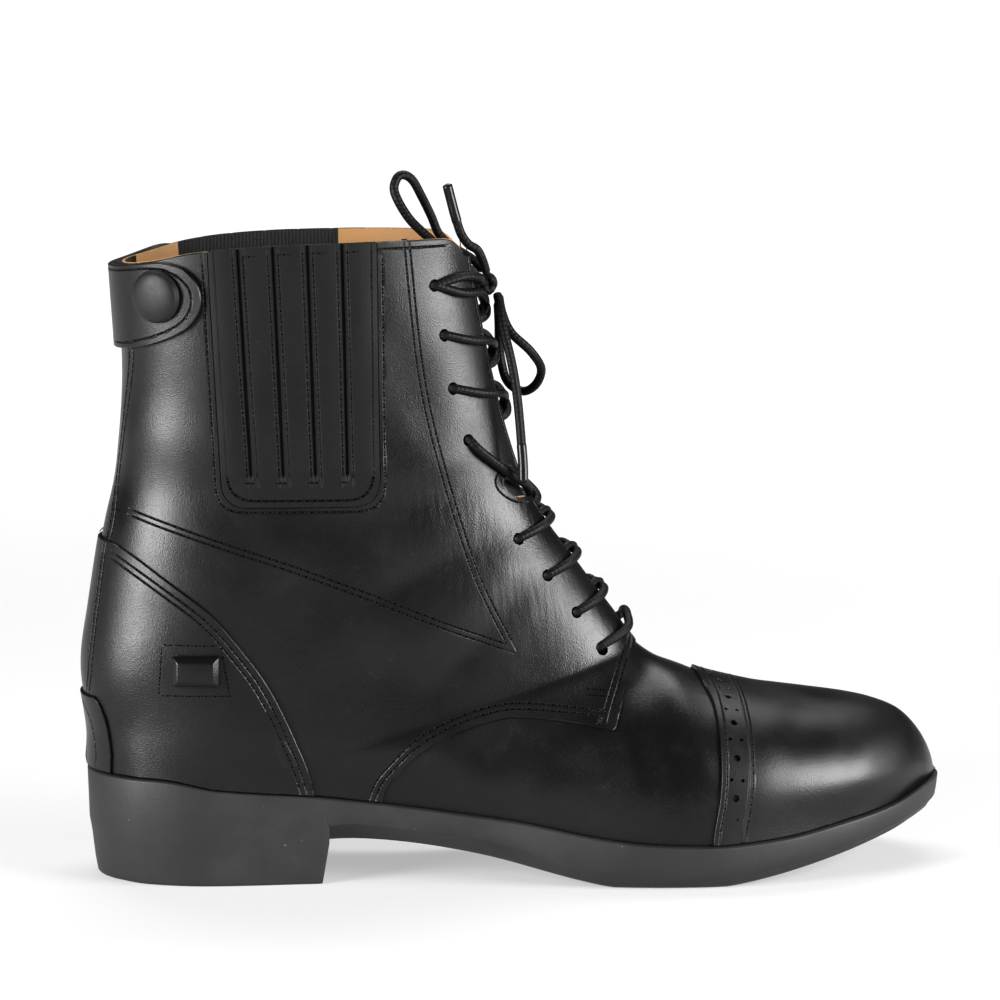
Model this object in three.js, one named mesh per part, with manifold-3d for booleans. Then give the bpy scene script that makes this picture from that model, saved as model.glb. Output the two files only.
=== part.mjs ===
// Laced paddock boot for the right foot, in millimetres.
// +X points to the toe, -Y to the outer side and +Z up. The origin is the middle of the heel's flat bottom.
import * as THREE from "three";
import { mergeVertices } from "three/addons/utils/BufferGeometryUtils.js";
import Module from "manifold-3d";

const wasm = await Module();
wasm.setup();

// Driving dimensions of the last and the sole
const soleLength = 288; // back of the heel to the tip of the toe
const heelWidth = 67;
const waistWidth = 62;
const ballWidth = 101;
const heelHeight = 36; // floor to the sole's rim, behind the heel
const ballHeight = 14.2; // floor to the rim, at the ball
const toeHeight = 28; // floor to the rim, at the tip of the toe
const toeSpring = 17; // floor to the underside, at the tip of the toe
const archRise = 14; // floor to the underside, in front of the heel
const throatHeight = 78; // floor to the lower end of the lacing
const collarHeight = 212;
const collarWidth = 69;
const ankleWidth = 63;

// Driving dimensions of the pieces
const upperWall = 2.2;
const clearance = 0.3; // between pieces that lie against each other
const rimEdge = 3; // the rim stands this far out from the upper
const heelTaper = 3; // the heel draws in by this much towards the floor
const waistBevel = 9; // the underside draws in by this much at the waist
const quarterStep = 1; // the quarter lies this much proud of the vamp
const capThickness = 1;
const counterThickness = 1;
const patchThickness = 0.7;
const strapThickness = 2.2;
const panelThickness = 0.5;
const stripThickness = 1.4;
const stripCount = 5;
const insoleThickness = 3;
const insoleEase = 1.9; // between the edge of the insole and the wall
const tongueThickness = 2;
const tongueLean = 18; // the top of the tongue lies this far back from the facings
const throatGapLow = 12;
const throatGapHigh = 23;
const eyeletSize = 3.8;
const eyeletSetback = 13; // from the facing's edge, seen from the front
const notchWidth = 6.5;
const notchDepth = 14;
const laceSize = 3;
const snapSize = 17.5;
const snapHeight = 4;
const stopLength = 15.5;
const stopHeight = 10;
const stopDepth = 4;

// Fineness of the faceted surfaces
const formSections = 24;
const formSides = 22;
const outlineSteps = 18;
const curveSegments = 5;
const eyeletSides = 8;
const farAway = 400; // cutting solids reach this far past the boot

const heelBack = -0.1424 * soleLength;
const toeTip = heelBack + soleLength;
const skirt = 13; // the form runs on this far below the rim, where it is cut off

// Turns a header of column names and rows of numbers into rows with named columns.
function table(header, rows) {
  const names = header.split(" ");
  return rows.map((row) => Object.fromEntries(names.map((name, i) => [name, row[i]])));
}

// A smooth curve through values at rising places.
function curveThrough(places, values, at) {
  const last = places.length - 1;
  const x = Math.min(Math.max(at, places[0]), places[last]);
  let i = 0;
  while (i < last - 1 && x > places[i + 1]) i++;
  const slope = (k) => {
    const a = Math.max(k - 1, 0);
    const b = Math.min(k + 1, last);
    return (values[b] - values[a]) / (places[b] - places[a]);
  };
  const span = places[i + 1] - places[i];
  const t = (x - places[i]) / span;
  const rise = values[i + 1] - values[i];
  const bend = (1 - t) * (slope(i) * span - rise) + t * (rise - slope(i + 1) * span);
  return values[i] + t * rise + t * (1 - t) * bend;
}

function smoothStep(t) {
  const x = Math.min(Math.max(t, 0), 1);
  return x * x * (3 - 2 * x);
}

function mix(a, b, t) {
  return a + (b - a) * t;
}

// Heights: 0 is the floor, 1 the lower end of the lacing and 2 the collar.
function level(rise) {
  return rise <= 1 ? rise * throatHeight : throatHeight + (rise - 1) * (collarHeight - throatHeight);
}

// Lengths: shares of the sole, counted from the origin.
function run(share) {
  return share * soleLength;
}

// Outline of the sole: run is a share of its length from the back. The half width is made of
// shares of the three named widths, and shift moves the middle to the inner side.
const outlineTable = table("run heel waist ball shift", [
  [0, 0, 0, 0, 0],
  [0.024, 0.296, 0, 0, 0],
  [0.059, 0.425, 0, 0, 0],
  [0.125, 0.5, 0, 0, 0],
  [0.264, 0.48, 0, 0, -0.007],
  [0.368, 0, 0.5, 0, -0.03],
  [0.472, 0, 0.28, 0.174, -0.04],
  [0.559, 0, 0, 0.42, -0.025],
  [0.628, 0, 0, 0.475, -0.01],
  [0.69, 0, 0, 0.498, 0],
  [0.733, 0, 0, 0.5, 0.01],
  [0.802, 0, 0, 0.468, 0.027],
  [0.872, 0, 0, 0.406, 0.05],
  [0.934, 0, 0, 0.302, 0.064],
  [0.976, 0, 0, 0.178, 0.079],
  [1, 0, 0, 0, 0.079],
]);
const outlineRuns = outlineTable.map((row) => heelBack + row.run * soleLength);
const outlineHalves = outlineTable.map(
  (row) => row.heel * heelWidth + row.waist * waistWidth + row.ball * ballWidth,
);
const outlineSquares = outlineHalves.map((half) => half * half); // these run smoothly at a round end
const outlineShifts = outlineTable.map((row) => row.shift * ballWidth);

// Middle and half width of the sole's outline, drawn in by inset.
function outline(x, inset) {
  const middle = (heelBack + toeTip) / 2;
  const place = middle + ((x - middle) * soleLength) / (soleLength - 2 * inset);
  const centre = curveThrough(outlineRuns, outlineShifts, place);
  if (place <= heelBack || place >= toeTip) return { centre, half: 0 };
  const half = Math.sqrt(Math.max(curveThrough(outlineRuns, outlineSquares, place), 0));
  return { centre, half: half * (1 - inset / Math.max(half, 6 * inset, 1)) };
}

// Height of the sole's rim, in shares of the three named heights.
const rimTable = table("run heel ball toe", [
  [0, 1, 0, 0],
  [0.09, 0.985, 0, 0],
  [0.146, 0.9, 0, 0],
  [0.26, 0.82, 0, 0],
  [0.403, 0.68, 0, 0],
  [0.497, 0.5, 0.21, 0],
  [0.566, 0.25, 0.58, 0],
  [0.628, 0, 1.06, 0],
  [0.69, 0, 1, 0],
  [0.733, 0, 1.01, 0],
  [0.802, 0, 0.9, 0.115],
  [0.854, 0, 0.68, 0.316],
  [0.924, 0, 0.3, 0.634],
  [0.969, 0, 0.1, 0.86],
  [1, 0, 0, 1],
]);
const rimRuns = rimTable.map((row) => heelBack + row.run * soleLength);
const rimHeights = rimTable.map(
  (row) => row.heel * heelHeight + row.ball * ballHeight + row.toe * toeHeight,
);

function rim(x) {
  return curveThrough(rimRuns, rimHeights, x);
}

// The underside: flat under the ball, with the arch behind it and the toe spring before it.
const treadStart = run(0.451);
const treadEnd = run(0.583);
const breast = run(0.132); // front of the heel, at the top
function underside(x) {
  if (x < treadStart) {
    const t = Math.min((treadStart - x) / (treadStart - breast), 1);
    return archRise * Math.sin((t ** 1.1 * Math.PI) / 2);
  }
  return x > treadEnd ? toeSpring * ((x - treadEnd) / (toeTip - treadEnd)) ** 1.25 : 0;
}

function waist(x) {
  return smoothStep((x - breast + 15) / run(0.09)) * smoothStep((treadStart - 8 - x) / run(0.13));
}

// Sections of the last, from the collar round the heel and forward to the tip of the toe. Each lies in
// a plane across the boot, from a back point to a front point on the ridge. Widths are shares of the
// named ones. The back points of the foot lie on the skirt, below the rim.
const sectionTable = table(
  "backRun backRise skirt frontRun frontRise collar ankle heel ball shift widest roundBack roundFront",
  [
    [-0.1028, 2.03, 0, 0.3, 2.09, 1, 0, 0, 0, 0, 0.46, 2.3, 2.2],
    [-0.0986, 1.88, 0, 0.3054, 1.94, 0.98, 0, 0, 0, 0, 0.46, 2.3, 2.2],
    [-0.0941, 1.7, 0, 0.3187, 1.77, 0.5, 0.5, 0, 0, 0, 0.45, 2.3, 2.25],
    [-0.0969, 1.55, 0, 0.3361, 1.59, 0, 1, 0, 0, 0, 0.44, 2.3, 2.3],
    [-0.1073, 1.4, 0, 0.3587, 1.418, 0, 1, 0, 0, 0, 0.42, 2.3, 2.4],
    [-0.1191, 1.261, 0, 0.3885, 1.29, 0, 1.015, 0, 0, 0, 0.38, 2.3, 2.5],
    [-0.1312, 1.1, 0, 0.4215, 1.191, 0, 0, 0.97, 0, 0, 0.34, 2.3, 2.6],
    [-0.141, 0.9, 0, 0.449, 1.108, 0, 0, 0.985, 0, 0, 0.32, 2.3, 2.7],
    [-0.132, 0.62, 0, 0.472, 1.043, 0, 0, 0.975, 0, 0, 0.31, 2.3, 2.7],
    [-0.1285, 0, 1, 0.4895, 0.985, 0, 0, 0.985, 0, 0, 0.31, 2.4, 2.7],
    [-0.052, 0, 1, 0.5017, 0.943, 0, 0, 1, 0, 0, 0.34, 3, 2.6],
    [0.156, 0, 1, 0.5208, 0.893, 0, 0, 0.52, 0.34, -0.006, 0.38, 3.4, 2.4],
    [0.337, 0, 1, 0.5469, 0.853, 0, 0, 0, 0.83, -0.004, 0.41, 3.5, 2.25],
    [0.472, 0, 1, 0.5816, 0.803, 0, 0, 0, 0.935, 0.005, 0.42, 3.5, 2.15],
    [0.583, 0, 1, 0.632, 0.757, 0, 0, 0, 0.945, 0.015, 0.42, 3.5, 2.15],
    [0.639, 0, 1, 0.665, 0.735, 0, 0, 0, 0.905, 0.028, 0.42, 3.5, 2.15],
    [0.691, 0, 1, 0.705, 0.711, 0, 0, 0, 0.84, 0.042, 0.42, 3.4, 2.15],
    [0.7396, 0, 1, 0.7465, 0.687, 0, 0, 0, 0.735, 0.054, 0.42, 3.3, 2.15],
    [0.7778, 0, 1, 0.7778, 0.66, 0, 0, 0, 0.61, 0.064, 0.42, 3.2, 2.15],
    [0.8073, 0, 1, 0.8073, 0.615, 0, 0, 0, 0.467, 0.072, 0.42, 3, 2.15],
    [0.8281, 0, 1, 0.8281, 0.54, 0, 0, 0, 0.333, 0.078, 0.43, 2.8, 2.15],
    [0.842, 0, 1, 0.842, 0.45, 0, 0, 0, 0.194, 0.079, 0.45, 2.6, 2.15],
    [0.8493, 0, 1, 0.8493, 0.36, 0, 0, 0, 0, 0.079, 0.48, 2.4, 2.15],
  ],
).map((row) => ({
  backX: run(row.backRun),
  backZ: row.skirt ? rim(run(row.backRun)) - skirt : level(row.backRise),
  frontX: run(row.frontRun),
  frontZ: level(row.frontRise),
  square:
    0.25 *
    (row.collar * collarWidth + row.ankle * ankleWidth + row.heel * heelWidth + row.ball * ballWidth) ** 2,
  shift: row.shift * ballWidth,
  widest: row.widest,
  roundBack: row.roundBack,
  roundFront: row.roundFront,
}));
const sectionPlaces = sectionTable.map((row, i) => i);

// One section of the last as a ring of points. Point 0 is the back one, the middle one is on the
// ridge, and points i and formSides - i lie across from each other.
function sectionRing(place) {
  const s = {};
  for (const key of Object.keys(sectionTable[0])) {
    s[key] = curveThrough(sectionPlaces, sectionTable.map((row) => row[key]), place);
  }
  const half = Math.sqrt(Math.max(s.square, 0));
  const ring = [];
  for (let i = 0; i < formSides; i++) {
    const angle = (i / formSides) * 2 * Math.PI;
    const up = -Math.cos(angle);
    const out = Math.abs(Math.sin(angle));
    const side = angle < Math.PI ? -1 : 1;
    const power = 2 / (up < 0 ? s.roundBack : s.roundFront);
    const reach = up < 0 ? -s.widest * (-up) ** power : (1 - s.widest) * up ** power;
    const along = s.widest + reach;
    const x = mix(s.backX, s.frontX, along);
    const z = mix(s.backZ, s.frontZ, along);
    let y = s.shift + side * half * out ** power;
    if (out > 1e-6) {
      // near the rim the wall runs down into the outline of the sole
      const above = z - rim(x);
      const fade = Math.min(22, 0.45 * Math.max(s.frontZ - rim(x), 1));
      const hold = above > 0 ? 1 - smoothStep(above / fade) : smoothStep((above + skirt) / (0.5 * skirt));
      const foot = outline(x, rimEdge);
      y = mix(y, foot.centre + side * foot.half, hold);
    }
    ring.push(new THREE.Vector3(x, y, z));
  }
  return ring;
}

const formRings = [];
for (let k = 0; k < formSections; k++) {
  formRings.push(sectionRing((k / (formSections - 1)) * (sectionTable.length - 1)));
}

// The outward direction at each point of the form.
const formNormals = formRings.map((ring, k) => {
  const before = formRings[Math.max(k - 1, 0)];
  const after = formRings[Math.min(k + 1, formSections - 1)];
  return ring.map((point, i) => {
    const a = ring[(i + 1) % formSides].clone().sub(ring[(i + formSides - 1) % formSides]);
    const b = after[i].clone().sub(before[i]);
    return b.cross(a).normalize();
  });
});
const tipNormals = formNormals[formSections - 1];
formNormals[formSections - 2].forEach((normal, i) => {
  const across = formNormals[formSections - 2][(formSides - i) % formSides];
  tipNormals[i].copy(normal).add(across);
  tipNormals[i].y = 0;
  tipNormals[i].normalize();
});

// Joins rings of points into a closed geometry. The first and last ring are closed by a ladder of
// triangles between points i and count - i.
function ringGeometry(rings) {
  const count = rings[0].length;
  const positions = rings.flat().flatMap((p) => [p.x, p.y, p.z]);
  const index = [];
  for (let k = 0; k < rings.length - 1; k++) {
    for (let i = 0; i < count; i++) {
      const j = (i + 1) % count;
      const a = k * count;
      const b = a + count;
      index.push(a + i, a + j, b + j, a + i, b + j, b + i);
    }
  }
  const close = (start, turn) => {
    for (let i = 0; i < count / 2; i++) {
      const quad = [i, i + 1, count - i - 1, (count - i) % count].map((n) => start + n);
      const faces = [[quad[0], quad[2], quad[1]], [quad[0], quad[3], quad[2]]];
      for (const face of faces) index.push(...(turn ? face.reverse() : face));
    }
  };
  close(0, false);
  close((rings.length - 1) * count, true);
  const geometry = new THREE.BufferGeometry();
  geometry.setAttribute("position", new THREE.Float32BufferAttribute(positions, 3));
  geometry.setIndex(index);
  return geometry;
}

// A closed geometry as a solid for cutting and joining, with its faces pointing out.
function solid(source) {
  const geometry = source.clone();
  geometry.deleteAttribute("normal");
  geometry.deleteAttribute("uv");
  const merged = mergeVertices(geometry, 1e-4);
  const corners = merged.index.array;
  const faces = [];
  for (let i = 0; i < corners.length; i += 3) {
    const [a, b, c] = [corners[i], corners[i + 1], corners[i + 2]];
    if (a !== b && b !== c && c !== a) faces.push(a, b, c);
  }
  const vertProperties = merged.attributes.position.array;
  const make = (order) =>
    new wasm.Manifold(new wasm.Mesh({ numProp: 3, vertProperties, triVerts: new Uint32Array(order) }));
  const made = make(faces);
  if (made.volume() > 0) return made;
  for (let i = 0; i < faces.length; i += 3) [faces[i], faces[i + 1]] = [faces[i + 1], faces[i]];
  return make(faces);
}

function toGeometry(made) {
  const mesh = made.getMesh();
  const positions = new Float32Array(mesh.numVert * 3);
  for (let i = 0; i < mesh.numVert; i++) {
    for (let k = 0; k < 3; k++) positions[3 * i + k] = mesh.vertProperties[mesh.numProp * i + k];
  }
  const geometry = new THREE.BufferGeometry();
  geometry.setAttribute("position", new THREE.BufferAttribute(positions, 3));
  geometry.setIndex(new THREE.BufferAttribute(new Uint32Array(mesh.triVerts), 1));
  geometry.computeVertexNormals();
  return geometry;
}

// The last's form, with its skin moved out by offset, which may change with height.
function form(offset) {
  const move = typeof offset === "function" ? offset : () => offset;
  const rings = formRings.map((ring, k) =>
    ring.map((point, i) => point.clone().addScaledVector(formNormals[k][i], move(point.z))),
  );
  return ringGeometry(rings);
}

// A shape seen from the side, as a solid across the boot. side is -1, 1 or 0 for both.
function sidePrism(shape, side = 0) {
  const depth = side ? farAway : 2 * farAway;
  const geometry = new THREE.ExtrudeGeometry(shape, { depth, bevelEnabled: false, curveSegments });
  geometry.rotateX(Math.PI / 2);
  geometry.translate(0, side ? (side > 0 ? farAway : 0) : farAway, 0);
  return solid(geometry);
}

// A shape seen from the front, given as y and z, as a solid from one x to another.
function frontPrism(shape, from, to) {
  const depth = to - from;
  const geometry = new THREE.ExtrudeGeometry(shape, { depth, bevelEnabled: false, curveSegments });
  geometry.rotateX(Math.PI / 2);
  geometry.rotateZ(Math.PI / 2);
  geometry.translate(from, 0, 0);
  return solid(geometry);
}

function polygon(points) {
  return new THREE.Shape(points.map(([a, b]) => new THREE.Vector2(a, b)));
}

// A line of a table with columns run and rise, as points seen from the side.
function sideLine(rows) {
  return table("run rise", rows).map((row) => [run(row.run), level(row.rise)]);
}

const base = solid(form(0));

// Everything below the upper's lower edge, and everything above its collar
const rimRound = 0.9; // edge round of the rim
// Places along the sole's outline, closer together at its round ends. The two that are nearest to
// the ends of the tread lie on them, so the tread is flat from end to end.
function stepNear(x) {
  return Math.round((outlineSteps / Math.PI) * Math.acos(1 - (2 * (x - heelBack)) / soleLength));
}
function outlinePlace(j, inset) {
  if (j === stepNear(treadStart)) return treadStart;
  if (j === stepNear(treadEnd)) return treadEnd;
  return mix(heelBack + inset, toeTip - inset, (1 - Math.cos((Math.PI * j) / outlineSteps)) / 2);
}
const lowerLine = [[-farAway, rim(heelBack) + clearance]];
for (let j = 0; j <= outlineSteps; j++) {
  const x = outlinePlace(j, rimRound);
  lowerLine.push([x, rim(x) + clearance]);
}
lowerLine.push([farAway, rim(toeTip) + clearance]);
const belowRim = sidePrism(polygon([[farAway, -farAway], [-farAway, -farAway], ...lowerLine]));
const collarLine = sideLine([
  [-0.25, 1.928],
  [-0.125, 1.933],
  [-0.076, 1.946],
  [-0.017, 1.974],
  [0.059, 1.99],
  [0.156, 1.997],
  [0.26, 2],
  [0.275, 1.996],
  [0.285, 1.98],
  [0.293, 1.955],
  [0.34, 1.95],
]);
const aboveCollar = sidePrism(polygon([...collarLine, [run(0.34), farAway], [run(-0.25), farAway]]));

// The opening between the facings, seen from the front
function throatHalf(z) {
  const t = (z - throatHeight) / (collarHeight - throatHeight);
  return mix(throatGapLow, throatGapHigh, t) / 2;
}
function throatShape(bottom) {
  return polygon([
    [-throatHalf(farAway), farAway],
    [-throatHalf(bottom), bottom],
    [-throatHalf(bottom) * 0.6, bottom - 2.5],
    [throatHalf(bottom) * 0.6, bottom - 2.5],
    [throatHalf(bottom), bottom],
    [throatHalf(farAway), farAway],
  ]);
}
const throatFrom = run(0.15);
const throat = frontPrism(throatShape(level(1.025)), throatFrom, farAway);
const throatBelow = frontPrism(throatShape(level(0.7)), throatFrom, farAway);

// A point on the form's front, found by looking along -X from the front
const bothSides = new THREE.MeshBasicMaterial({ side: THREE.DoubleSide });
const sightMesh = new THREE.Mesh(form(quarterStep), bothSides);
sightMesh.updateMatrixWorld();
function seen(from, direction) {
  const hit = new THREE.Raycaster(from, direction).intersectObject(sightMesh)[0];
  const normal = hit.face.normal.clone();
  if (normal.dot(direction) > 0) normal.negate();
  return { point: hit.point, normal };
}
function onFront(y, z) {
  return seen(new THREE.Vector3(farAway, y, z), new THREE.Vector3(-1, 0, 0));
}
function onSide(x, z, side) {
  return seen(new THREE.Vector3(x, side * farAway, z), new THREE.Vector3(0, -side, 0));
}

// Turns a geometry made along +Y so that it stands along a direction at a point.
function standOn(geometry, point, direction) {
  const turn = new THREE.Quaternion().setFromUnitVectors(new THREE.Vector3(0, 1, 0), direction);
  return geometry.applyQuaternion(turn).translate(point.x, point.y, point.z);
}

// Eyelets: four below the notch and four above it, on each side
const eyeletRises = [0.962, 1.073, 1.166, 1.258, 1.506, 1.635, 1.766, 1.888];
function eyelet(rise, side) {
  const z = level(rise);
  return onFront(side * (throatHalf(z) + eyeletSetback), z);
}
function eyeletHole(rise, side) {
  const { point, normal } = eyelet(rise, side);
  const depth = 4 * upperWall;
  const cylinder = new THREE.CylinderGeometry(eyeletSize / 2, eyeletSize / 2, depth, eyeletSides);
  return solid(standOn(cylinder, point, normal));
}

// The notch in each facing, where the ankle bends
const notchRise = 1.385;
function notchCut(side) {
  const z = level(notchRise);
  const outer = throatHalf(z) + notchDepth - notchWidth / 2;
  const shape = new THREE.Shape();
  shape.moveTo(0, z + notchWidth / 2 + 1);
  shape.lineTo(0, z - notchWidth / 2 - 1);
  shape.lineTo(side * outer, z - notchWidth / 2);
  shape.absarc(side * outer, z, notchWidth / 2, -Math.PI / 2, Math.PI / 2, side < 0);
  return frontPrism(shape, throatFrom, farAway);
}

// Edge of the quarter over the vamp
const quarterEdge = sideLine([
  [0.19, 0.3],
  [0.198, 0.41],
  [0.215, 0.49],
  [0.238, 0.57],
  [0.273, 0.641],
  [0.318, 0.695],
  [0.353, 0.708],
  [0.41, 0.686],
  [0.457, 0.658],
  [0.471, 0.791],
  [0.483, 0.894],
  [0.51, 1.05],
]);
const quarterRegion = sidePrism(
  polygon([
    [-farAway, -farAway],
    [run(0.185), -farAway],
    ...quarterEdge,
    [run(0.6), farAway],
    [-farAway, farAway],
  ]),
);

// The elastic panel's opening in the quarter, with slanting sides and round lower corners
const panelBack = -0.0065;
const panelBackLow = 0.012;
const panelFront = 0.187;
const panelFrontLow = 0.191;
const panelBottom = 1.356;
const panelCorner = 9;
function panelShape(grow) {
  const bottom = level(panelBottom) - grow;
  const back = run(panelBackLow) - grow;
  const front = run(panelFrontLow) + grow;
  const shape = new THREE.Shape();
  shape.moveTo(run(panelBack) - grow, level(2.2));
  shape.lineTo(back, bottom + panelCorner);
  shape.quadraticCurveTo(back, bottom, back + panelCorner, bottom);
  shape.lineTo(front - panelCorner, bottom);
  shape.quadraticCurveTo(front, bottom, front, bottom + panelCorner);
  shape.lineTo(run(panelFront) + grow, level(2.2));
  return shape;
}

// Upper
function makeUpper() {
  let step = solid(form(quarterStep)).intersect(quarterRegion);
  step = step.subtract(sidePrism(panelShape(0))).subtract(throatBelow);
  let made = base.add(step).subtract(solid(form(-upperWall)));
  made = made.subtract(belowRim).subtract(aboveCollar).subtract(throat);
  for (const side of [-1, 1]) {
    made = made.subtract(notchCut(side));
    for (const rise of eyeletRises) made = made.subtract(eyeletHole(rise, side));
  }
  return made;
}

// Outsole with its heel, one moulded piece
function outsoleRing(inset, heightAt, extra = () => 0) {
  const ring = [];
  const point = (x, side) => {
    const edge = outline(x, inset);
    return new THREE.Vector3(x, edge.centre + side * Math.max(edge.half - extra(x), 0), heightAt(x));
  };
  for (let j = 0; j <= outlineSteps; j++) ring.push(point(outlinePlace(j, inset), -1));
  for (let j = outlineSteps - 1; j > 0; j--) ring.push(point(outlinePlace(j, inset), 1));
  return ring;
}
const bandEnd = (x) => mix(underside(x) + 3.4, rim(x) - 7.5, waist(x));
function heelRing(z, inset) {
  const front = breast - 0.16 * (archRise - Math.min(z, archRise));
  const back = heelBack + inset;
  const ring = [];
  const steps = outlineSteps / 2;
  const at = (j) => back + (front - back) * (1 - Math.cos((Math.PI * j) / (2 * steps)));
  const point = (x, side) => {
    const edge = outline(x, inset);
    return new THREE.Vector3(x, edge.centre + side * edge.half, z);
  };
  for (let j = 0; j <= steps; j++) ring.push(point(at(j), -1));
  ring.push(new THREE.Vector3(front - 1.2, outline(front, inset).centre, z));
  for (let j = steps; j > 0; j--) ring.push(point(at(j), 1));
  return ring;
}
function makeOutsole() {
  const plate = ringGeometry([
    outsoleRing(rimRound, rim),
    outsoleRing(0, (x) => rim(x) - rimRound),
    outsoleRing(0.35, (x) => mix(rim(x), bandEnd(x), 0.6)),
    outsoleRing(0.8, bandEnd),
    outsoleRing(2.8, (x) => underside(x) + 1.2, (x) => 0.7 * waistBevel * waist(x)),
    outsoleRing(8, underside, (x) => 0.6 * waistBevel * waist(x)),
  ]);
  const top = rim(breast) - 3;
  const heel = ringGeometry([
    heelRing(top, 0.3),
    heelRing(archRise, mix(0.4, heelTaper, 0.35)),
    heelRing(1.2, heelTaper),
    heelRing(0, heelTaper + 0.8),
  ]);
  return solid(plate).add(solid(heel));
}

// Insole, lying inside the upper's lower edge
function makeInsole() {
  const inset = rimEdge + upperWall + insoleEase;
  const drawn = (x) => insoleEase * waist(x);
  const low = (x) => rim(x) + 2 * clearance;
  const high = (x) => low(x) + insoleThickness;
  return solid(ringGeometry([outsoleRing(inset, high, drawn), outsoleRing(inset, low, drawn)]));
}

// Tongue, behind the facings, its top leaning back
function makeTongue() {
  const lean = (z) => tongueLean * smoothStep((z - level(1.72)) / (level(2) - level(1.72)));
  const outer = solid(form((z) => -upperWall - clearance - lean(z)));
  const inner = solid(form((z) => -upperWall - clearance - tongueThickness - lean(z)));
  const shape = polygon([
    [-13, level(0.955)],
    [-20, level(1.15)],
    [-23, level(1.5)],
    [-22, level(1.93)],
    [-16, level(1.995)],
    [16, level(1.995)],
    [22, level(1.93)],
    [23, level(1.5)],
    [20, level(1.15)],
    [13, level(0.955)],
  ]);
  return outer.subtract(inner).intersect(frontPrism(shape, run(0.12), farAway));
}

// The part of a layer over the form that lies inside a region
function overlay(region, from, to) {
  return solid(form(to)).subtract(solid(form(from))).intersect(region).subtract(belowRim);
}

// Toe cap, over the vamp
const capFrom = clearance;
function makeToeCap() {
  const edge = sideLine([
    [0.562, 0],
    [0.567, 0.23],
    [0.5735, 0.377],
    [0.5768, 0.538],
    [0.5755, 0.749],
    [0.5655, 0.847],
    [0.563, 1.05],
  ]);
  const region = sidePrism(polygon([...edge, [farAway, level(1.05)], [farAway, 0]]));
  return overlay(region, capFrom, capFrom + capThickness);
}

// Heel counter, over the quarter
const counterFrom = quarterStep + clearance;
const counterTo = counterFrom + counterThickness;
function makeCounter() {
  const edge = sideLine([
    [0.128, 0],
    [0.1135, 0.411],
    [0.0931, 0.631],
    [0.0651, 0.846],
    [0.0371, 0.996],
    [-0.0019, 1.096],
    [-0.052, 1.178],
    [-0.0966, 1.243],
    [-0.13, 1.262],
    [-0.25, 1.27],
  ]);
  return overlay(sidePrism(polygon([...edge, [run(-0.25), 0]])), counterFrom, counterTo);
}

// Patch at the foot of the back seam, over the counter
const patchFrom = counterTo + clearance;
function makePatch() {
  const edge = sideLine([
    [-0.118, 0],
    [-0.1165, 0.471],
    [-0.1163, 0.558],
    [-0.1215, 0.686],
    [-0.1327, 0.777],
    [-0.145, 0.785],
    [-0.25, 0.785],
  ]);
  return overlay(sidePrism(polygon([...edge, [run(-0.25), 0]])), patchFrom, patchFrom + patchThickness);
}

// Elastic panel with its sewn-on strips, one on each side
const stripGap = 1.4;
function makePanel(side) {
  const panel = overlay(sidePrism(panelShape(-clearance), side), clearance, clearance + panelThickness);
  const layer = overlay(sidePrism(panelShape(-clearance - 1), side), clearance, clearance + stripThickness);
  const low = level(1.43);
  const high = level(2.1);
  const left = (t) => mix(run(panelBack), run(panelFront), t);
  const leftLow = (t) => mix(run(panelBackLow), run(panelFrontLow), t);
  let made = panel;
  for (let i = 0; i < stripCount; i++) {
    const a = i / stripCount;
    const b = (i + 1) / stripCount;
    const strip = sidePrism(
      polygon([
        [leftLow(a) + stripGap / 2, low],
        [leftLow(b) - stripGap / 2, low],
        [left(b) - stripGap / 2, high],
        [left(a) + stripGap / 2, high],
      ]),
      side,
    );
    made = made.add(layer.intersect(strip));
  }
  return made.subtract(aboveCollar);
}

// Back strap, round the top of the back seam, with a round end on the outer side
const strapFrom = quarterStep + clearance;
const strapTo = strapFrom + strapThickness;
function makeStrap() {
  const outerEnd = sideLine([
    [-0.25, 1.725],
    [-0.1028, 1.731],
    [-0.077, 1.742],
    [-0.055, 1.758],
    [-0.027, 1.784],
    [-0.0122, 1.813],
    [-0.0042, 1.88],
    [-0.0149, 1.921],
    [-0.0372, 1.949],
    [-0.0538, 1.956],
    [-0.1146, 1.933],
    [-0.25, 1.93],
  ]);
  const innerEnd = sideLine([
    [-0.25, 1.725],
    [-0.1028, 1.731],
    [-0.04, 1.765],
    [-0.035, 1.955],
    [-0.1146, 1.933],
    [-0.25, 1.93],
  ]);
  const region = sidePrism(polygon(outerEnd), -1).add(sidePrism(polygon(innerEnd), 1));
  return overlay(region, strapFrom, strapTo);
}

// Snap cap on the strap
const snapRun = -0.051;
const snapRise = 1.871;
function makeSnap() {
  const { point, normal } = onSide(run(snapRun), level(snapRise), -1);
  const radius = snapSize / 2;
  const stand = strapTo - quarterStep;
  const profile = [
    [0, -2],
    [radius - 0.3, -2],
    [radius, stand + 1],
    [radius - 0.8, stand + 1.9],
    [radius * 0.72, stand + snapHeight * 0.8],
    [radius * 0.4, stand + snapHeight * 0.96],
    [0, stand + snapHeight],
  ].map(([r, y]) => new THREE.Vector2(r, y));
  const dome = solid(standOn(new THREE.LatheGeometry(profile, 20), point, normal));
  return dome.subtract(solid(form(strapTo + clearance)));
}

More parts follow.
